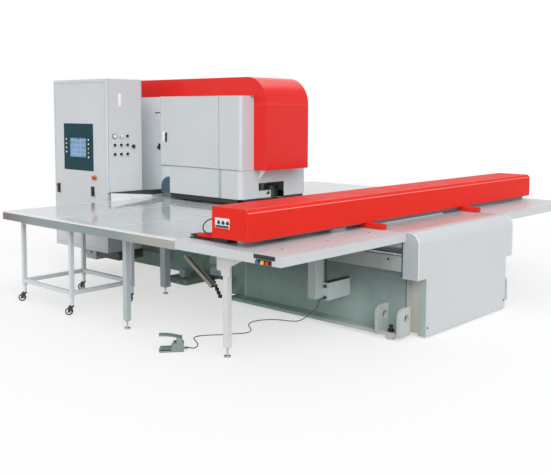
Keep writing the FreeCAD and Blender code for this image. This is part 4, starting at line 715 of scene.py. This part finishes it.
def ring(outer, inner, height):
    """The profile of a ring with a rounded face; it ends inside, on what it surrounds."""
    step = (outer - inner) / 4
    return [(outer, 0.0), (outer, height - step), (outer - step, height), (inner + step, height),
            (inner, height - step), (inner, 0.0)]


def moved(boxes, way):
    """Boxes given about a point, moved to it."""
    return [tuple(tuple(a + b for a, b in zip(corner, way)) for corner in box) for box in boxes]


def mirrored(low, high):
    """A box on the right side and its mirror image on the left."""
    return [((-high[0], low[1], low[2]), (-low[0], high[1], high[2])), (low, high)]


def on_side(face, proud, ys, zs):
    """A thin box that stands out of a face that looks to the left."""
    return (face - proud, ys[0], zs[0]), (face + SUNK, ys[1], zs[1])


def on_front(face, proud, xs, zs):
    """A thin box that stands out of a face that looks to the front."""
    return (xs[0], face - proud, zs[0]), (xs[1], face + SUNK, zs[1])


# ---- screws ----
STRIP_SCREWS = ((-2.244, -2.345), (-1.687, -2.347), (-1.098, -2.331), (-0.547, -2.441), (-0.157, -2.446),
                (0.593, -2.446))
COVER_SCREWS = ((-0.718, 0.093), (0.723, 0.097))
COVER_FRONT = -2.71
DOME = ((0.0085, 0.0), (0.0082, 0.0012), (0.0060, 0.0028), (0.0038, 0.0034), (0.0034, 0.0018),
        (0.0005, 0.0018))
WIDER = 1.4                # the cover's screws against the strip's


def screws():
    """Domed screw heads with a dark socket on the front strip and the cover."""
    tops = [(DOME, (x, y, TABLE_TOP), UP) for x, y in STRIP_SCREWS]
    wide = [(WIDER * radius, height) for radius, height in DOME]
    fronts = [(wide, (x, COVER_FRONT, z), FRONT) for x, z in COVER_SCREWS]
    piece("strip_screws", "dark_metal", turned=tops + fronts)


# ---- cabinet ----
CABINET_SIDE = -1.17
CABINET_FRONT = 1.35
PANEL_LATCHES = ((2.368, 1.038), (1.646, 1.038))
LATCH_BOXES = (            # a latch's plate, rims, lever and knob, about its middle
    ((-0.019, -0.035, -0.059), (-0.0135, 0.035, 0.059)),
    ((-0.023, -0.032, -0.052), (-0.018, -0.024, 0.052)), ((-0.023, 0.024, -0.052), (-0.018, 0.032, 0.052)),
    ((-0.030, -0.014, -0.040), (-0.018, 0.014, 0.020)), ((-0.034, -0.018, 0.022), (-0.018, 0.018, 0.046)),
)
STOP_PLACE = (1.616, 1.202)
STOP_OUT = 0.036           # how far the head stands out, as for all names in _OUT
BUTTON_XS = (-1.083, -0.992, -0.901)
BUTTON_ZS = (1.702, 1.597, 1.489)
BUTTON_OUT = 0.020
BEZEL = ring(0.0205, 0.0168, 0.005)
GAUGE_OUT = 0.0138
LAMP_OUT = 0.0198
FRONT_PLATE = (0.002, (-1.018, -0.974), (2.050, 2.197))    # how far it stands out, and its spans
SEAM_T = 0.0012
SEAM_Z = (1.045, 2.365)
SEAM_XS = ((CABINET_SIDE + 0.002, CABINET_SIDE + 0.006), (-0.682, -0.678))
STRIP_Y = (CABINET_FRONT + 0.004, CABINET_FRONT + 0.030)
TRAY = ((-1.02, 1.37, 0.212), (-0.66, 2.08, 0.3195))
TRAY_BOX = ((-1.032, 1.82, 0.172), (-0.88, 2.03, 0.285))
PORT_PLACE = (TRAY_BOX[0][0], 1.92, 0.255)
PORT = ((0.016, 0.0), (0.016, 0.004), (0.002, 0.004))


def cabinet_side():
    latches = [box for y, z in PANEL_LATCHES for box in moved(LATCH_BOXES, (CABINET_SIDE, y, z))]
    piece("panel_latches", "black", latches, soften=0.0025)
    collar = [(ring(0.034, 0.0105, 0.005), (CABINET_SIDE, *STOP_PLACE), LEFT)]
    piece("stop_collar", "yellow", turned=collar)
    head = [(cap(0.0225, 0.004), (CABINET_SIDE - STOP_OUT, *STOP_PLACE), LEFT)]
    piece("stop_cap", "stop_red", turned=head, body="stop")


def cabinet_front():
    """Seven buttons in three rows, with the gauge and the lamp in the places left of the first."""
    y = CABINET_FRONT
    (gauge_x, lamp_x, _), top = BUTTON_XS, BUTTON_ZS[0]
    places = [(x, z) for z in BUTTON_ZS for x in BUTTON_XS][2:]
    piece("button_bezels", "pale", turned=[(BEZEL, (x, y, z), FRONT) for x, z in places])
    caps = [(cap(0.0145, 0.004), (x, y - BUTTON_OUT, z), FRONT) for x, z in places]
    piece("button_caps", "black", turned=caps)
    piece("gauge_face", "white", turned=[(cap(0.0225, 0.0035), (gauge_x, y - GAUGE_OUT, top), FRONT)])
    lamp = [(ring(0.0205, 0.0168, 0.006), (lamp_x, y, top), FRONT),
            (cap(0.0172, 0.010, 0.005), (lamp_x, y - LAMP_OUT, top), FRONT)]
    piece("lamp_lens", "pale", turned=lamp)
    piece("front_plate", "pale", [on_front(y, *FRONT_PLATE)])
    piece("cabinet_seams", "seam", [on_front(y, SEAM_T, xs, SEAM_Z) for xs in SEAM_XS], soften=0.0003)
    # a painted highlight along the cabinet's corner
    piece("corner_strip", "edge", [on_side(CABINET_SIDE, SEAM_T, STRIP_Y, SEAM_Z)], soften=0.0003)


def cabinet_tray():
    piece("cabinet_tray", "olive", [TRAY], soften=0.004)
    piece("tray_box", "box_grey", [TRAY_BOX], soften=0.003)
    piece("tray_port", "black", turned=[(PORT, PORT_PLACE, LEFT)])


# ---- console ----
KEY_COLUMNS = (2.191, 1.729)
KEY_TOP = 1.650
KEY_STEP = 0.052
KEY_OUT = 0.010
SCREEN_Y = (1.789, 2.126)
SCREEN_Z = (1.439, 1.665)
RIM_W = 0.006
RIM_OUT = (0.0058, 0.0035)


def console_keys():
    """Four keys left of the screen and five right of it, and the screen's rim."""
    key = cap(0.0115, 0.0035, 0.0015)
    left, right = [[(key, (CABINET_SIDE - KEY_OUT, y, KEY_TOP - n * KEY_STEP), LEFT) for n in range(count)]
                   for y, count in zip(KEY_COLUMNS, (4, 5))]
    piece("white_keys", "white", turned=[*left, right[0], right[1], right[4]])
    piece("green_key", "green", turned=[right[2]])
    piece("yellow_key", "yellow", turned=[right[3]])
    (low_y, high_y), (low_z, high_z) = SCREEN_Y, SCREEN_Z
    outer_y, outer_z = (low_y - RIM_W, high_y + RIM_W), (low_z - RIM_W, high_z + RIM_W)
    spans = ((outer_y, (outer_z[0], low_z)), (outer_y, (high_z, outer_z[1])),
             ((outer_y[0], low_y), outer_z), ((high_y, outer_y[1]), outer_z))
    front, back = (CABINET_SIDE - out for out in RIM_OUT)
    rims = [((front, ys[0], zs[0]), (back, ys[1], zs[1])) for ys, zs in spans]
    piece("screen_rim", "slate", rims, soften=0.0008, slot="console_paint")


# ---- crossrail's end ----
END_X = -2.433
END_MIDDLE = (-1.9035, 1.130)
END_CAP_OUT = 0.011
END_CAP_STEP = 0.050
END_STRIP = ((END_X - 0.002, -1.9535, 1.086), (END_X + 0.0005, -1.8055, 1.104))


def rail_end_buttons():
    """Black caps on the crossrail's end plate and a dark strip below them."""
    y, z = END_MIDDLE
    caps = [(cap(0.0155, 0.006), (END_X - END_CAP_OUT, y + n * END_CAP_STEP, z), LEFT) for n in (-1, 0, 1)]
    piece("end_caps", "black", turned=caps, body="crossrail")
    piece("end_strip", "slate", [END_STRIP], body="crossrail", soften=0.0005)


# ---- turret covers and frame ----
# A flat piece is how far it stands out of its face, and its spans along and up the face.
HOOD_SIDE = -0.56
SKIRT_SIDE = -0.554
FRAME_SIDE = -0.349
LATCH_PLATE = (0.0025, (1.045, 1.105), (1.637, 1.752))
SKIRT_BAND = (0.003, (0.093, 0.134), (1.028, 1.349))
HOOD_SEAM = (SEAM_T, (-0.176, 1.139), (1.349, 1.353))
SKIRT_BACK = ((0.5485, 0.979, 1.030), (0.5515, 1.139, 1.349))
FRAME_PLATE = (0.003, (1.375, 1.492), (1.858, 1.970))
FRAME_PLATE_TOP = (0.005, (1.372, 1.495), (1.970, 1.982))
CATCH_PLATE = (0.016, (1.398, 1.428), (1.520, 1.596))
CATCH_LEVER = ((-0.375, 1.404, 1.535), (-0.361, 1.440, 1.560))
GUSSET = ((-0.216, 1.349), (-0.310, 1.349), (-0.300, 1.325), (-0.216, 1.240))
GUSSET_X = -0.267
GUSSET_T = 0.012
HOLE_DISC = ((0.019, 0.0), (0.019, 0.0008), (0.002, 0.0008))
HOLE_DISC_PLACE = (-0.103, -0.2098, 1.078)


def hood_pieces():
    piece("latch_plate", "pale", [on_side(HOOD_SIDE, *LATCH_PLATE)], body="door")
    piece("skirt_band", "band", [on_side(SKIRT_SIDE, *SKIRT_BAND)])
    piece("hood_seam", "slate", [on_side(HOOD_SIDE, *HOOD_SEAM)], soften=0.0003)
    piece("skirt_backs", "light", mirrored(*SKIRT_BACK), soften=0.0005)
    piece("frame_plate", "pale", [on_side(FRAME_SIDE, *FRAME_PLATE)])
    piece("frame_plate_top", "dark_metal", [on_side(FRAME_SIDE, *FRAME_PLATE_TOP)])
    piece("frame_latch", "dark_metal", [on_side(FRAME_SIDE, *CATCH_PLATE), CATCH_LEVER], soften=0.003)


def nose_bracket():
    """Folded gusset under the cowl's nose beside the skirt's window, and the painted shade of its tab's hole.
    """
    sheet("nose_gusset", "frame_grey", GUSSET, GUSSET_X, GUSSET_T, 0)
    # a black disc of painted shade in the tab's hole
    piece("tab_hole_shade", "black", turned=[(HOLE_DISC, HOLE_DISC_PLACE, FRONT)])


# ---- cords ----
CORD_ROUTE = (
    (-2.4062, -1.4116, 0.022), (-2.3817, -1.4322, 0.022),
    (-2.340, -1.436, 0.006), (-2.275, -1.412, 0.004), (-2.215, -1.345, 0.004), (-2.172, -1.268, 0.004),
    (-2.130, -1.190, 0.004), (-2.055, -1.172, 0.004), (-1.970, -1.228, 0.004), (-1.885, -1.302, 0.004),
    (-1.800, -1.352, 0.004), (-1.722, -1.416, 0.004), (-1.640, -1.422, 0.004), (-1.568, -1.360, 0.004),
    (-1.522, -1.282, 0.004), (-1.455, -1.215, 0.004), (-1.360, -1.184, 0.004), (-1.262, -1.214, 0.004),
    (-1.182, -1.280, 0.004), (-1.138, -1.360, 0.004), (-1.112, -1.450, 0.004), (-1.118, -1.540, 0.022),
    (-1.140, -1.625, 0.062), (-1.180, -1.700, 0.110), (-1.208, -1.770, 0.158), (-1.236, -1.832, 0.196),
    (-1.264, -1.888, 0.232), (-1.272, -1.911, 0.280), (-1.240, -1.911, 0.318), (-1.190, -1.911, 0.318),
)
HOSE_START = (-2.362, -1.860, 1.150)
HOSE_STEPS = (             # points about the start
    (0, 0, 0), (-0.003, 0.050, 0.002), (-0.014, 0.098, 0), (-0.034, 0.146, -0.010), (-0.054, 0.184, -0.032),
    (-0.066, 0.206, -0.064), (-0.064, 0.212, -0.096), (-0.046, 0.210, -0.123), (-0.020, 0.196, -0.137),
    (-0.004, 0.174, -0.140), (0, 0.150, -0.140),
)
CABLE_ROUTE = (
    (-1.150, -1.911, 0.872), (-1.150, -1.911, 0.802), (-1.162, -1.914, 0.732), (-1.172, -1.914, 0.657),
    (-1.164, -1.911, 0.582), (-1.162, -1.911, 0.527), (-1.162, -1.911, 0.453),
)
HOSE_ROUTE = [tuple(Vector(HOSE_START) + Vector(step)) for step in HOSE_STEPS]
CORDS = (                  # name, route, diameter, length, body, node, stiffness and lay
    ("pedal_flex", CORD_ROUTE, 0.008, 2.400, "press", "pedal_cord", "medium", "loose"),
    ("clamp_loop", HOSE_ROUTE, 0.010, 0.386, "carriage", "clamp_hose", "stiff", "hanging"),
    ("box_lead", CABLE_ROUTE, 0.014, 0.421, "press", "box_cable", "stiff", "hanging"),
)


def cord_piece(name, points, diameter, length, body, node, stiffness, lay):
    """A free cord on a smooth spline through the route's points."""
    curve = bpy.data.curves.new(name, "CURVE")
    curve.dimensions = "3D"
    spline = curve.splines.new("NURBS")
    spline.points.add(len(points) - 1)
    for point, spot in zip(spline.points, points):
        point.co = (*spot, 1.0)
    spline.order_u = 3
    spline.use_endpoint_u = True
    curve.resolution_u = 10
    curve.bevel_depth = diameter / 2
    curve.bevel_resolution = 4
    curve.use_fill_caps = True
    made = linked(name, curve)
    curve.materials.append(M["rubber"])
    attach(made, body)
    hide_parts(node)


# ---- junction box and pedal ----
BOX_LOW = (-1.170, -1.940, 0.293)
BOX_HIGH = (-0.840, -1.882, 0.453)
LID_INSET = 0.002
LID_T = 0.009
GLAND_Y = -1.911
GLAND_ZS = (0.318, 0.423)
GLAND = ((0.0165, 0.0), (0.0165, 0.008), (0.0150, 0.009), (0.0145, 0.018), (0.0125, 0.022), (0.0045, 0.024))
RELIEF = ((0.0125, 0.0), (0.0115, 0.006), (0.0098, 0.020), (0.0078, 0.032), (0.0071, 0.034))
RELIEF_Z = BOX_HIGH[2] + 0.006
BOOT = ((0.0100, 0.0), (0.0092, 0.006), (0.0080, 0.008), (0.0082, 0.012), (0.0066, 0.014), (0.0068, 0.019),
        (0.0052, 0.024), (0.0044, 0.027))
BOOT_SUNK = 0.004


def box_pieces():
    """The box's lid, its glands and the sleeves on both cords."""
    lid = ((BOX_LOW[0] + LID_INSET, BOX_LOW[1] + LID_INSET, BOX_HIGH[2] - SUNK),
           (BOX_HIGH[0], BOX_HIGH[1] - LID_INSET, BOX_HIGH[2] + LID_T))
    piece("box_lid", "dark_metal", [lid], soften=0.002)
    piece("box_glands", "black", turned=[(GLAND, (BOX_LOW[0], GLAND_Y, z), LEFT) for z in GLAND_ZS])
    piece("cable_relief", "black", turned=[(RELIEF, (CABLE_ROUTE[-1][0], GLAND_Y, RELIEF_Z), UP)])
    start, after = Vector(CORD_ROUTE[0]), Vector(CORD_ROUTE[1])
    out = (after - start).normalized()
    piece("pedal_boot", "black", turned=[(BOOT, start - out * BOOT_SUNK, out)])


# ---- trim on the tables ----
PLATE_FOOT = TABLE_TOP - SUNK
UPSTAND = ((-1.150, PLATE_FOOT), (-0.540, PLATE_FOOT), (-0.540, 0.975), (-0.669, 0.990), (-1.150, 1.036))
# grey-teal painted reflection of the table's rear border
UPSTAND_FOOT = ((-0.539, PLATE_FOOT), (-0.352, PLATE_FOOT), (-0.352, 0.985), (-0.539, 0.974))
UPSTAND_Y = 1.330
UPSTAND_T = 0.006
# a dark sheet of painted shadow under the cabinet's sill
SILL_SHADOW = ((-1.165, 1.036), (-0.669, 0.988), (-0.539, 0.972), (-0.352, 0.983), (-0.352, 1.030),
            (-0.669, 1.042), (-1.165, 1.043))
SILL_Y = 1.337
SILL_T = 0.011
BRUSHES = (                # left, two beside the front's window, right
    ((-0.546, -0.150, 0.968), (-0.534, 0.975, 1.028)), ((-0.500, -0.206, 0.968), (-0.268, -0.196, 1.028)),
    ((0.159, -0.206, 0.968), (0.500, -0.196, 1.028)), ((0.534, -0.150, 0.953), (0.546, 0.975, 1.028)),
)
BEAM_SHADE_SHEETS = ((-2.37, -0.895, 0.978), (-0.835, 0.835, 0.958), (0.895, 2.37, 0.958))   # dark sheets of painted shade below the crossrail's cover: both ends and the low edge
SHADE_SHEET_Y = (-2.104, -2.097)
SHADE_SHEET_TOP = 1.030
RING_RADII = (0.604, 0.612)
RING_ARC = (105, 110)      # start and sweep in degrees
RING_STEPS = 40
RING_T = 0.0015


def rear_upstand():
    """Pale strip on the rear edge of the left table, running out to the right as a grey-teal strip of painted
    reflection, below a dark sheet of painted shadow.
    """
    sheet("table_upstand", "strip", UPSTAND, UPSTAND_Y, UPSTAND_T, 1)
    sheet("upstand_foot", "olive_grey", UPSTAND_FOOT, UPSTAND_Y, UPSTAND_T, 1)
    sheet("sill_shadow", "olive", SILL_SHADOW, SILL_Y, SILL_T, 1)


def table_marks():
    """Brushes below the lower cover, dark sheets of painted shade below the crossrail's cover and the pale ring
    on the table.
    """
    piece("skirt_brushes", "rubber", BRUSHES, soften=0.003, slot="dark_steel")
    # painted shade under the crossrail's cover, as dark sheets that hang from it
    flaps = [((left, SHADE_SHEET_Y[0], low), (right, SHADE_SHEET_Y[1], SHADE_SHEET_TOP)) for left, right, low in BEAM_SHADE_SHEETS]
    piece("beam_shade_sheets", "seam", flaps, body="crossrail", slot="dark_steel")
    bm = bmesh.new()
    start, sweep = RING_ARC
    angles = [math.radians(start + sweep * n / RING_STEPS) for n in range(RING_STEPS + 1)]
    inner, outer = [[bm.verts.new((radius * math.cos(angle), TURRET_Y + radius * math.sin(angle),
                                   TABLE_TOP + SUNK)) for angle in angles] for radius in RING_RADII]
    for n in range(RING_STEPS):
        bm.faces.new((inner[n], inner[n + 1], outer[n + 1], outer[n]))
    bmesh.ops.solidify(bm, geom=bm.faces[:], thickness=RING_T)
    show("table_ring", mesh_of("table_ring", bm), "pale")


# ---- base, chute and castors ----
CHUTE_END = (-0.180, 0.222)
CHUTE_FLAP = ((-0.972, -0.030, -0.030), (-0.948, 0.012, 0.006))
CHUTE_FLAP_STEP = (-0.024, -0.034)
UPPER_LEDGE = ((0.8395, -2.535, 0.800), (0.857, -0.650, 0.848))
LEDGE_SCREW = (-0.900, -2.404, 0.700)
COVER_GAPS = (((-0.8415, -2.5622, 0.070), (-0.8355, -2.5560, 0.595)),
              ((-0.8920, -2.552, 0.545), (-0.8895, -2.538, 0.930)))
BOLT = ((0.024, 0.0), (0.024, 0.030), (0.018, 0.034), (0.018, 0.062), (0.002, 0.064))
BOLT_Z = 0.0645
CART_XS = (-2.390, -1.660)
CART_YS = (0.290, 1.160)
CASTOR_R = 0.0375
CASTOR_TRAIL = 0.030
CASTOR_TURN = 222.0
HUB = ((0.0245, 0.0), (0.0245, 0.0010), (0.0225, 0.0018), (0.0120, 0.0012), (0.0105, 0.0018),
       (0.0070, 0.0018))
HUB_OUT = 0.0117


def chute_flaps():
    """Rubber links that hang from the chute's lower end to the floor."""
    (y, z), (step_y, step_z) = CHUTE_END, CHUTE_FLAP_STEP
    flaps = [moved([CHUTE_FLAP], (0, y + n * step_y, z + n * step_z))[0] for n in range(6)]
    piece("chute_flaps", "rubber", flaps, soften=0.004, slot="cable_rubber")


def base_pieces():
    """Ledges, the gaps behind the front cover and the bolts of its jacks."""
    piece("upper_ledges", "base", mirrored(*UPPER_LEDGE), soften=0.002)
    piece("ledge_screw", "dark_metal", turned=[(cap(0.012, 0.004), LEDGE_SCREW, LEFT)])
    piece("cover_gaps", "slate", COVER_GAPS, soften=0.0005)
    piece("jack_bolts", "black", turned=[(BOLT, (side * JACK_X, JACK_Y, BOLT_Z), UP) for side in (-1, 1)])


def wheel_hubs():
    """Pale hub discs with an axle nut on both sides of each castor wheel."""
    turn = math.radians(CASTOR_TURN)
    axle_way = Vector((math.cos(turn), math.sin(turn), 0))
    trail = Vector((math.sin(turn), -math.cos(turn), 0)) * CASTOR_TRAIL
    spots = [(x, y) for x in CART_XS for y in CART_YS]
    for n, (x, y) in enumerate(spots, 1):
        centre = Vector((x, y, CASTOR_R)) + trail
        turned = [(HUB, centre + axle_way * (side * HUB_OUT), axle_way * side) for side in (-1, 1)]
        piece("wheel_hub_%d" % n, "pale", turned=turned, body="wheel_%d" % n)


# ---- stage ----
FLOOR_SIZE = 60.0
FLOOR_FADE = (3.0, 9.0)    # the floor turns into the backdrop's white between these distances
FLOOR_GREY = (0.70, 0.70, 0.70)      # as light that bounces meets it
FLOOR_SEEN = (0.42, 0.42, 0.42)
FLOOR_LIFT = 0.58
WORLD_LIGHT = (0.50, 0.50, 0.50)
WHITE = (1, 1, 1)
ROOM = (0.90, 0.55, 0.15, 0.55)      # brightness at the first height and the second, and both heights
BOX_GLOW = 2.4
SIDE_BOX = (0.72, 0.030, 0.05)
TOP_BOX = (0.955, 0.03)
LAMPS = (                  # name, direction of the light, strength, softness in degrees
    ("key", (0.35, 0.75, -0.62), 1.35, 50), ("side", (0.85, 0.20, -0.50), 0.55, 60),
    ("fill", (0.74, 0.60, -0.35), 0.55, 40), ("back", (-0.5, -0.6, -0.7), 0.30, 60),
)

CAMERA_PLACE = (-6.7938, -6.4326, 2.0050)
CAMERA_TURNS = (47.881, 5.033, 0.233)      # yaw, pitch down and roll in degrees
CAMERA_LENS = 52.689
CAMERA_SENSOR = 36.0
CAMERA_SHIFT = (-0.0079, -0.10)
CAMERA_REACH = 200.0


def seen_ray(tree):
    """1 for rays that the eye or a mirror sees, 0 for those that only carry light."""
    path = add(tree, "LightPath").outputs
    return any_of(tree, path["Is Camera Ray"], path["Is Glossy Ray"], path["Is Transmission Ray"])


def floor_material():
    """Pale floor that keeps the object's shadow and fades to the white of the backdrop."""
    material, tree = new_material("studio_floor")
    tree.nodes.clear()
    spot = add(tree, "TexCoord").outputs["Object"]
    far = add(tree, "VectorMath", {0: spot}, operation="LENGTH").outputs["Value"]
    fade = add(tree, "MapRange", {"Value": far, "From Min": FLOOR_FADE[0], "From Max": FLOOR_FADE[1]},
               interpolation_type="SMOOTHSTEP").outputs["Result"]
    seen = seen_ray(tree)
    body = blend(tree, seen, rgba(FLOOR_GREY), rgba(FLOOR_SEEN))
    matt = add(tree, "BsdfDiffuse", {"Color": body}).outputs[0]
    lift = add(tree, "Emission", {"Strength": both(tree, seen, FLOOR_LIFT)}).outputs[0]
    close = add(tree, "AddShader", {0: matt, 1: lift}).outputs[0]
    white = add(tree, "Emission", {"Strength": seen}).outputs[0]
    mixed = add(tree, "MixShader", {0: both(tree, fade, seen), 1: close, 2: white}).outputs[0]
    add(tree, "OutputMaterial", {"Surface": mixed})
    return material


def backdrop():
    """White to the eye; in glossy surfaces a softer room with two bright soft boxes overhead."""
    world = bpy.data.worlds.new("studio")
    bpy.context.scene.world = world
    world.use_nodes = True
    tree = world.node_tree
    tree.nodes.clear()
    way = add(tree, "TexCoord").outputs["Generated"]
    height = add(tree, "SeparateXYZ", {0: way}).outputs["Z"]
    boxes = maths(tree, "ADD", both(tree, near(tree, height, *SIDE_BOX), BOX_GLOW),
                  both(tree, above(tree, height, *TOP_BOX), BOX_GLOW))
    glossy = maths(tree, "ADD", spread(tree, height, *ROOM), boxes)
    path = add(tree, "LightPath").outputs
    straight = any_of(tree, path["Is Camera Ray"], path["Is Transmission Ray"])
    soft = blend(tree, path["Is Glossy Ray"], rgba(WORLD_LIGHT), glossy)
    strength = blend(tree, straight, soft, rgba(WHITE))
    sky = add(tree, "Background", {"Color": strength, "Strength": 1.0}).outputs[0]
    add(tree, "OutputWorld", {"Surface": sky})


def studio():
    bm = bmesh.new()
    bmesh.ops.create_grid(bm, x_segments=1, y_segments=1, size=FLOOR_SIZE)
    mesh = bpy.data.meshes.new("floor")
    bm.to_mesh(mesh)
    bm.free()
    floor = linked("floor", mesh)
    mesh.materials.append(floor_material())
    backdrop()
    for name, towards, strength, angle in LAMPS:
        lamp = bpy.data.lights.new(name, "SUN")
        lamp.energy = strength
        lamp.angle = math.radians(angle)
        linked(name, lamp).rotation_euler = Vector(towards).to_track_quat("-Z", "Y").to_euler()


def camera():
    yaw, pitch, roll = (math.radians(angle) for angle in CAMERA_TURNS)
    ahead = Vector((math.sin(yaw) * math.cos(pitch), math.cos(yaw) * math.cos(pitch), -math.sin(pitch)))
    level = Vector((math.cos(yaw), -math.sin(yaw), 0))
    upright = level.cross(ahead)
    right = level * math.cos(roll) + upright * math.sin(roll)
    up = upright * math.cos(roll) - level * math.sin(roll)
    lens = bpy.data.cameras.new("camera")
    lens.lens = CAMERA_LENS
    lens.sensor_width = CAMERA_SENSOR
    lens.shift_x, lens.shift_y = CAMERA_SHIFT
    lens.clip_end = CAMERA_REACH
    view = linked("camera", lens)
    turn = Matrix((right, up, -ahead)).transposed().to_4x4()
    view.matrix_world = Matrix.Translation(Vector(CAMERA_PLACE)) @ turn
    bpy.context.scene.camera = view


camera()
dress_nodes()
for cord in CORDS:
    cord_piece(*cord)
screws()
cabinet_side()
cabinet_front()
cabinet_tray()
console_keys()
rail_end_buttons()
hood_pieces()
nose_bracket()
box_pieces()
rear_upstand()
table_marks()
chute_flaps()
base_pieces()
wheel_hubs()
studio()
bpy.context.scene.view_settings.view_transform = "Standard"
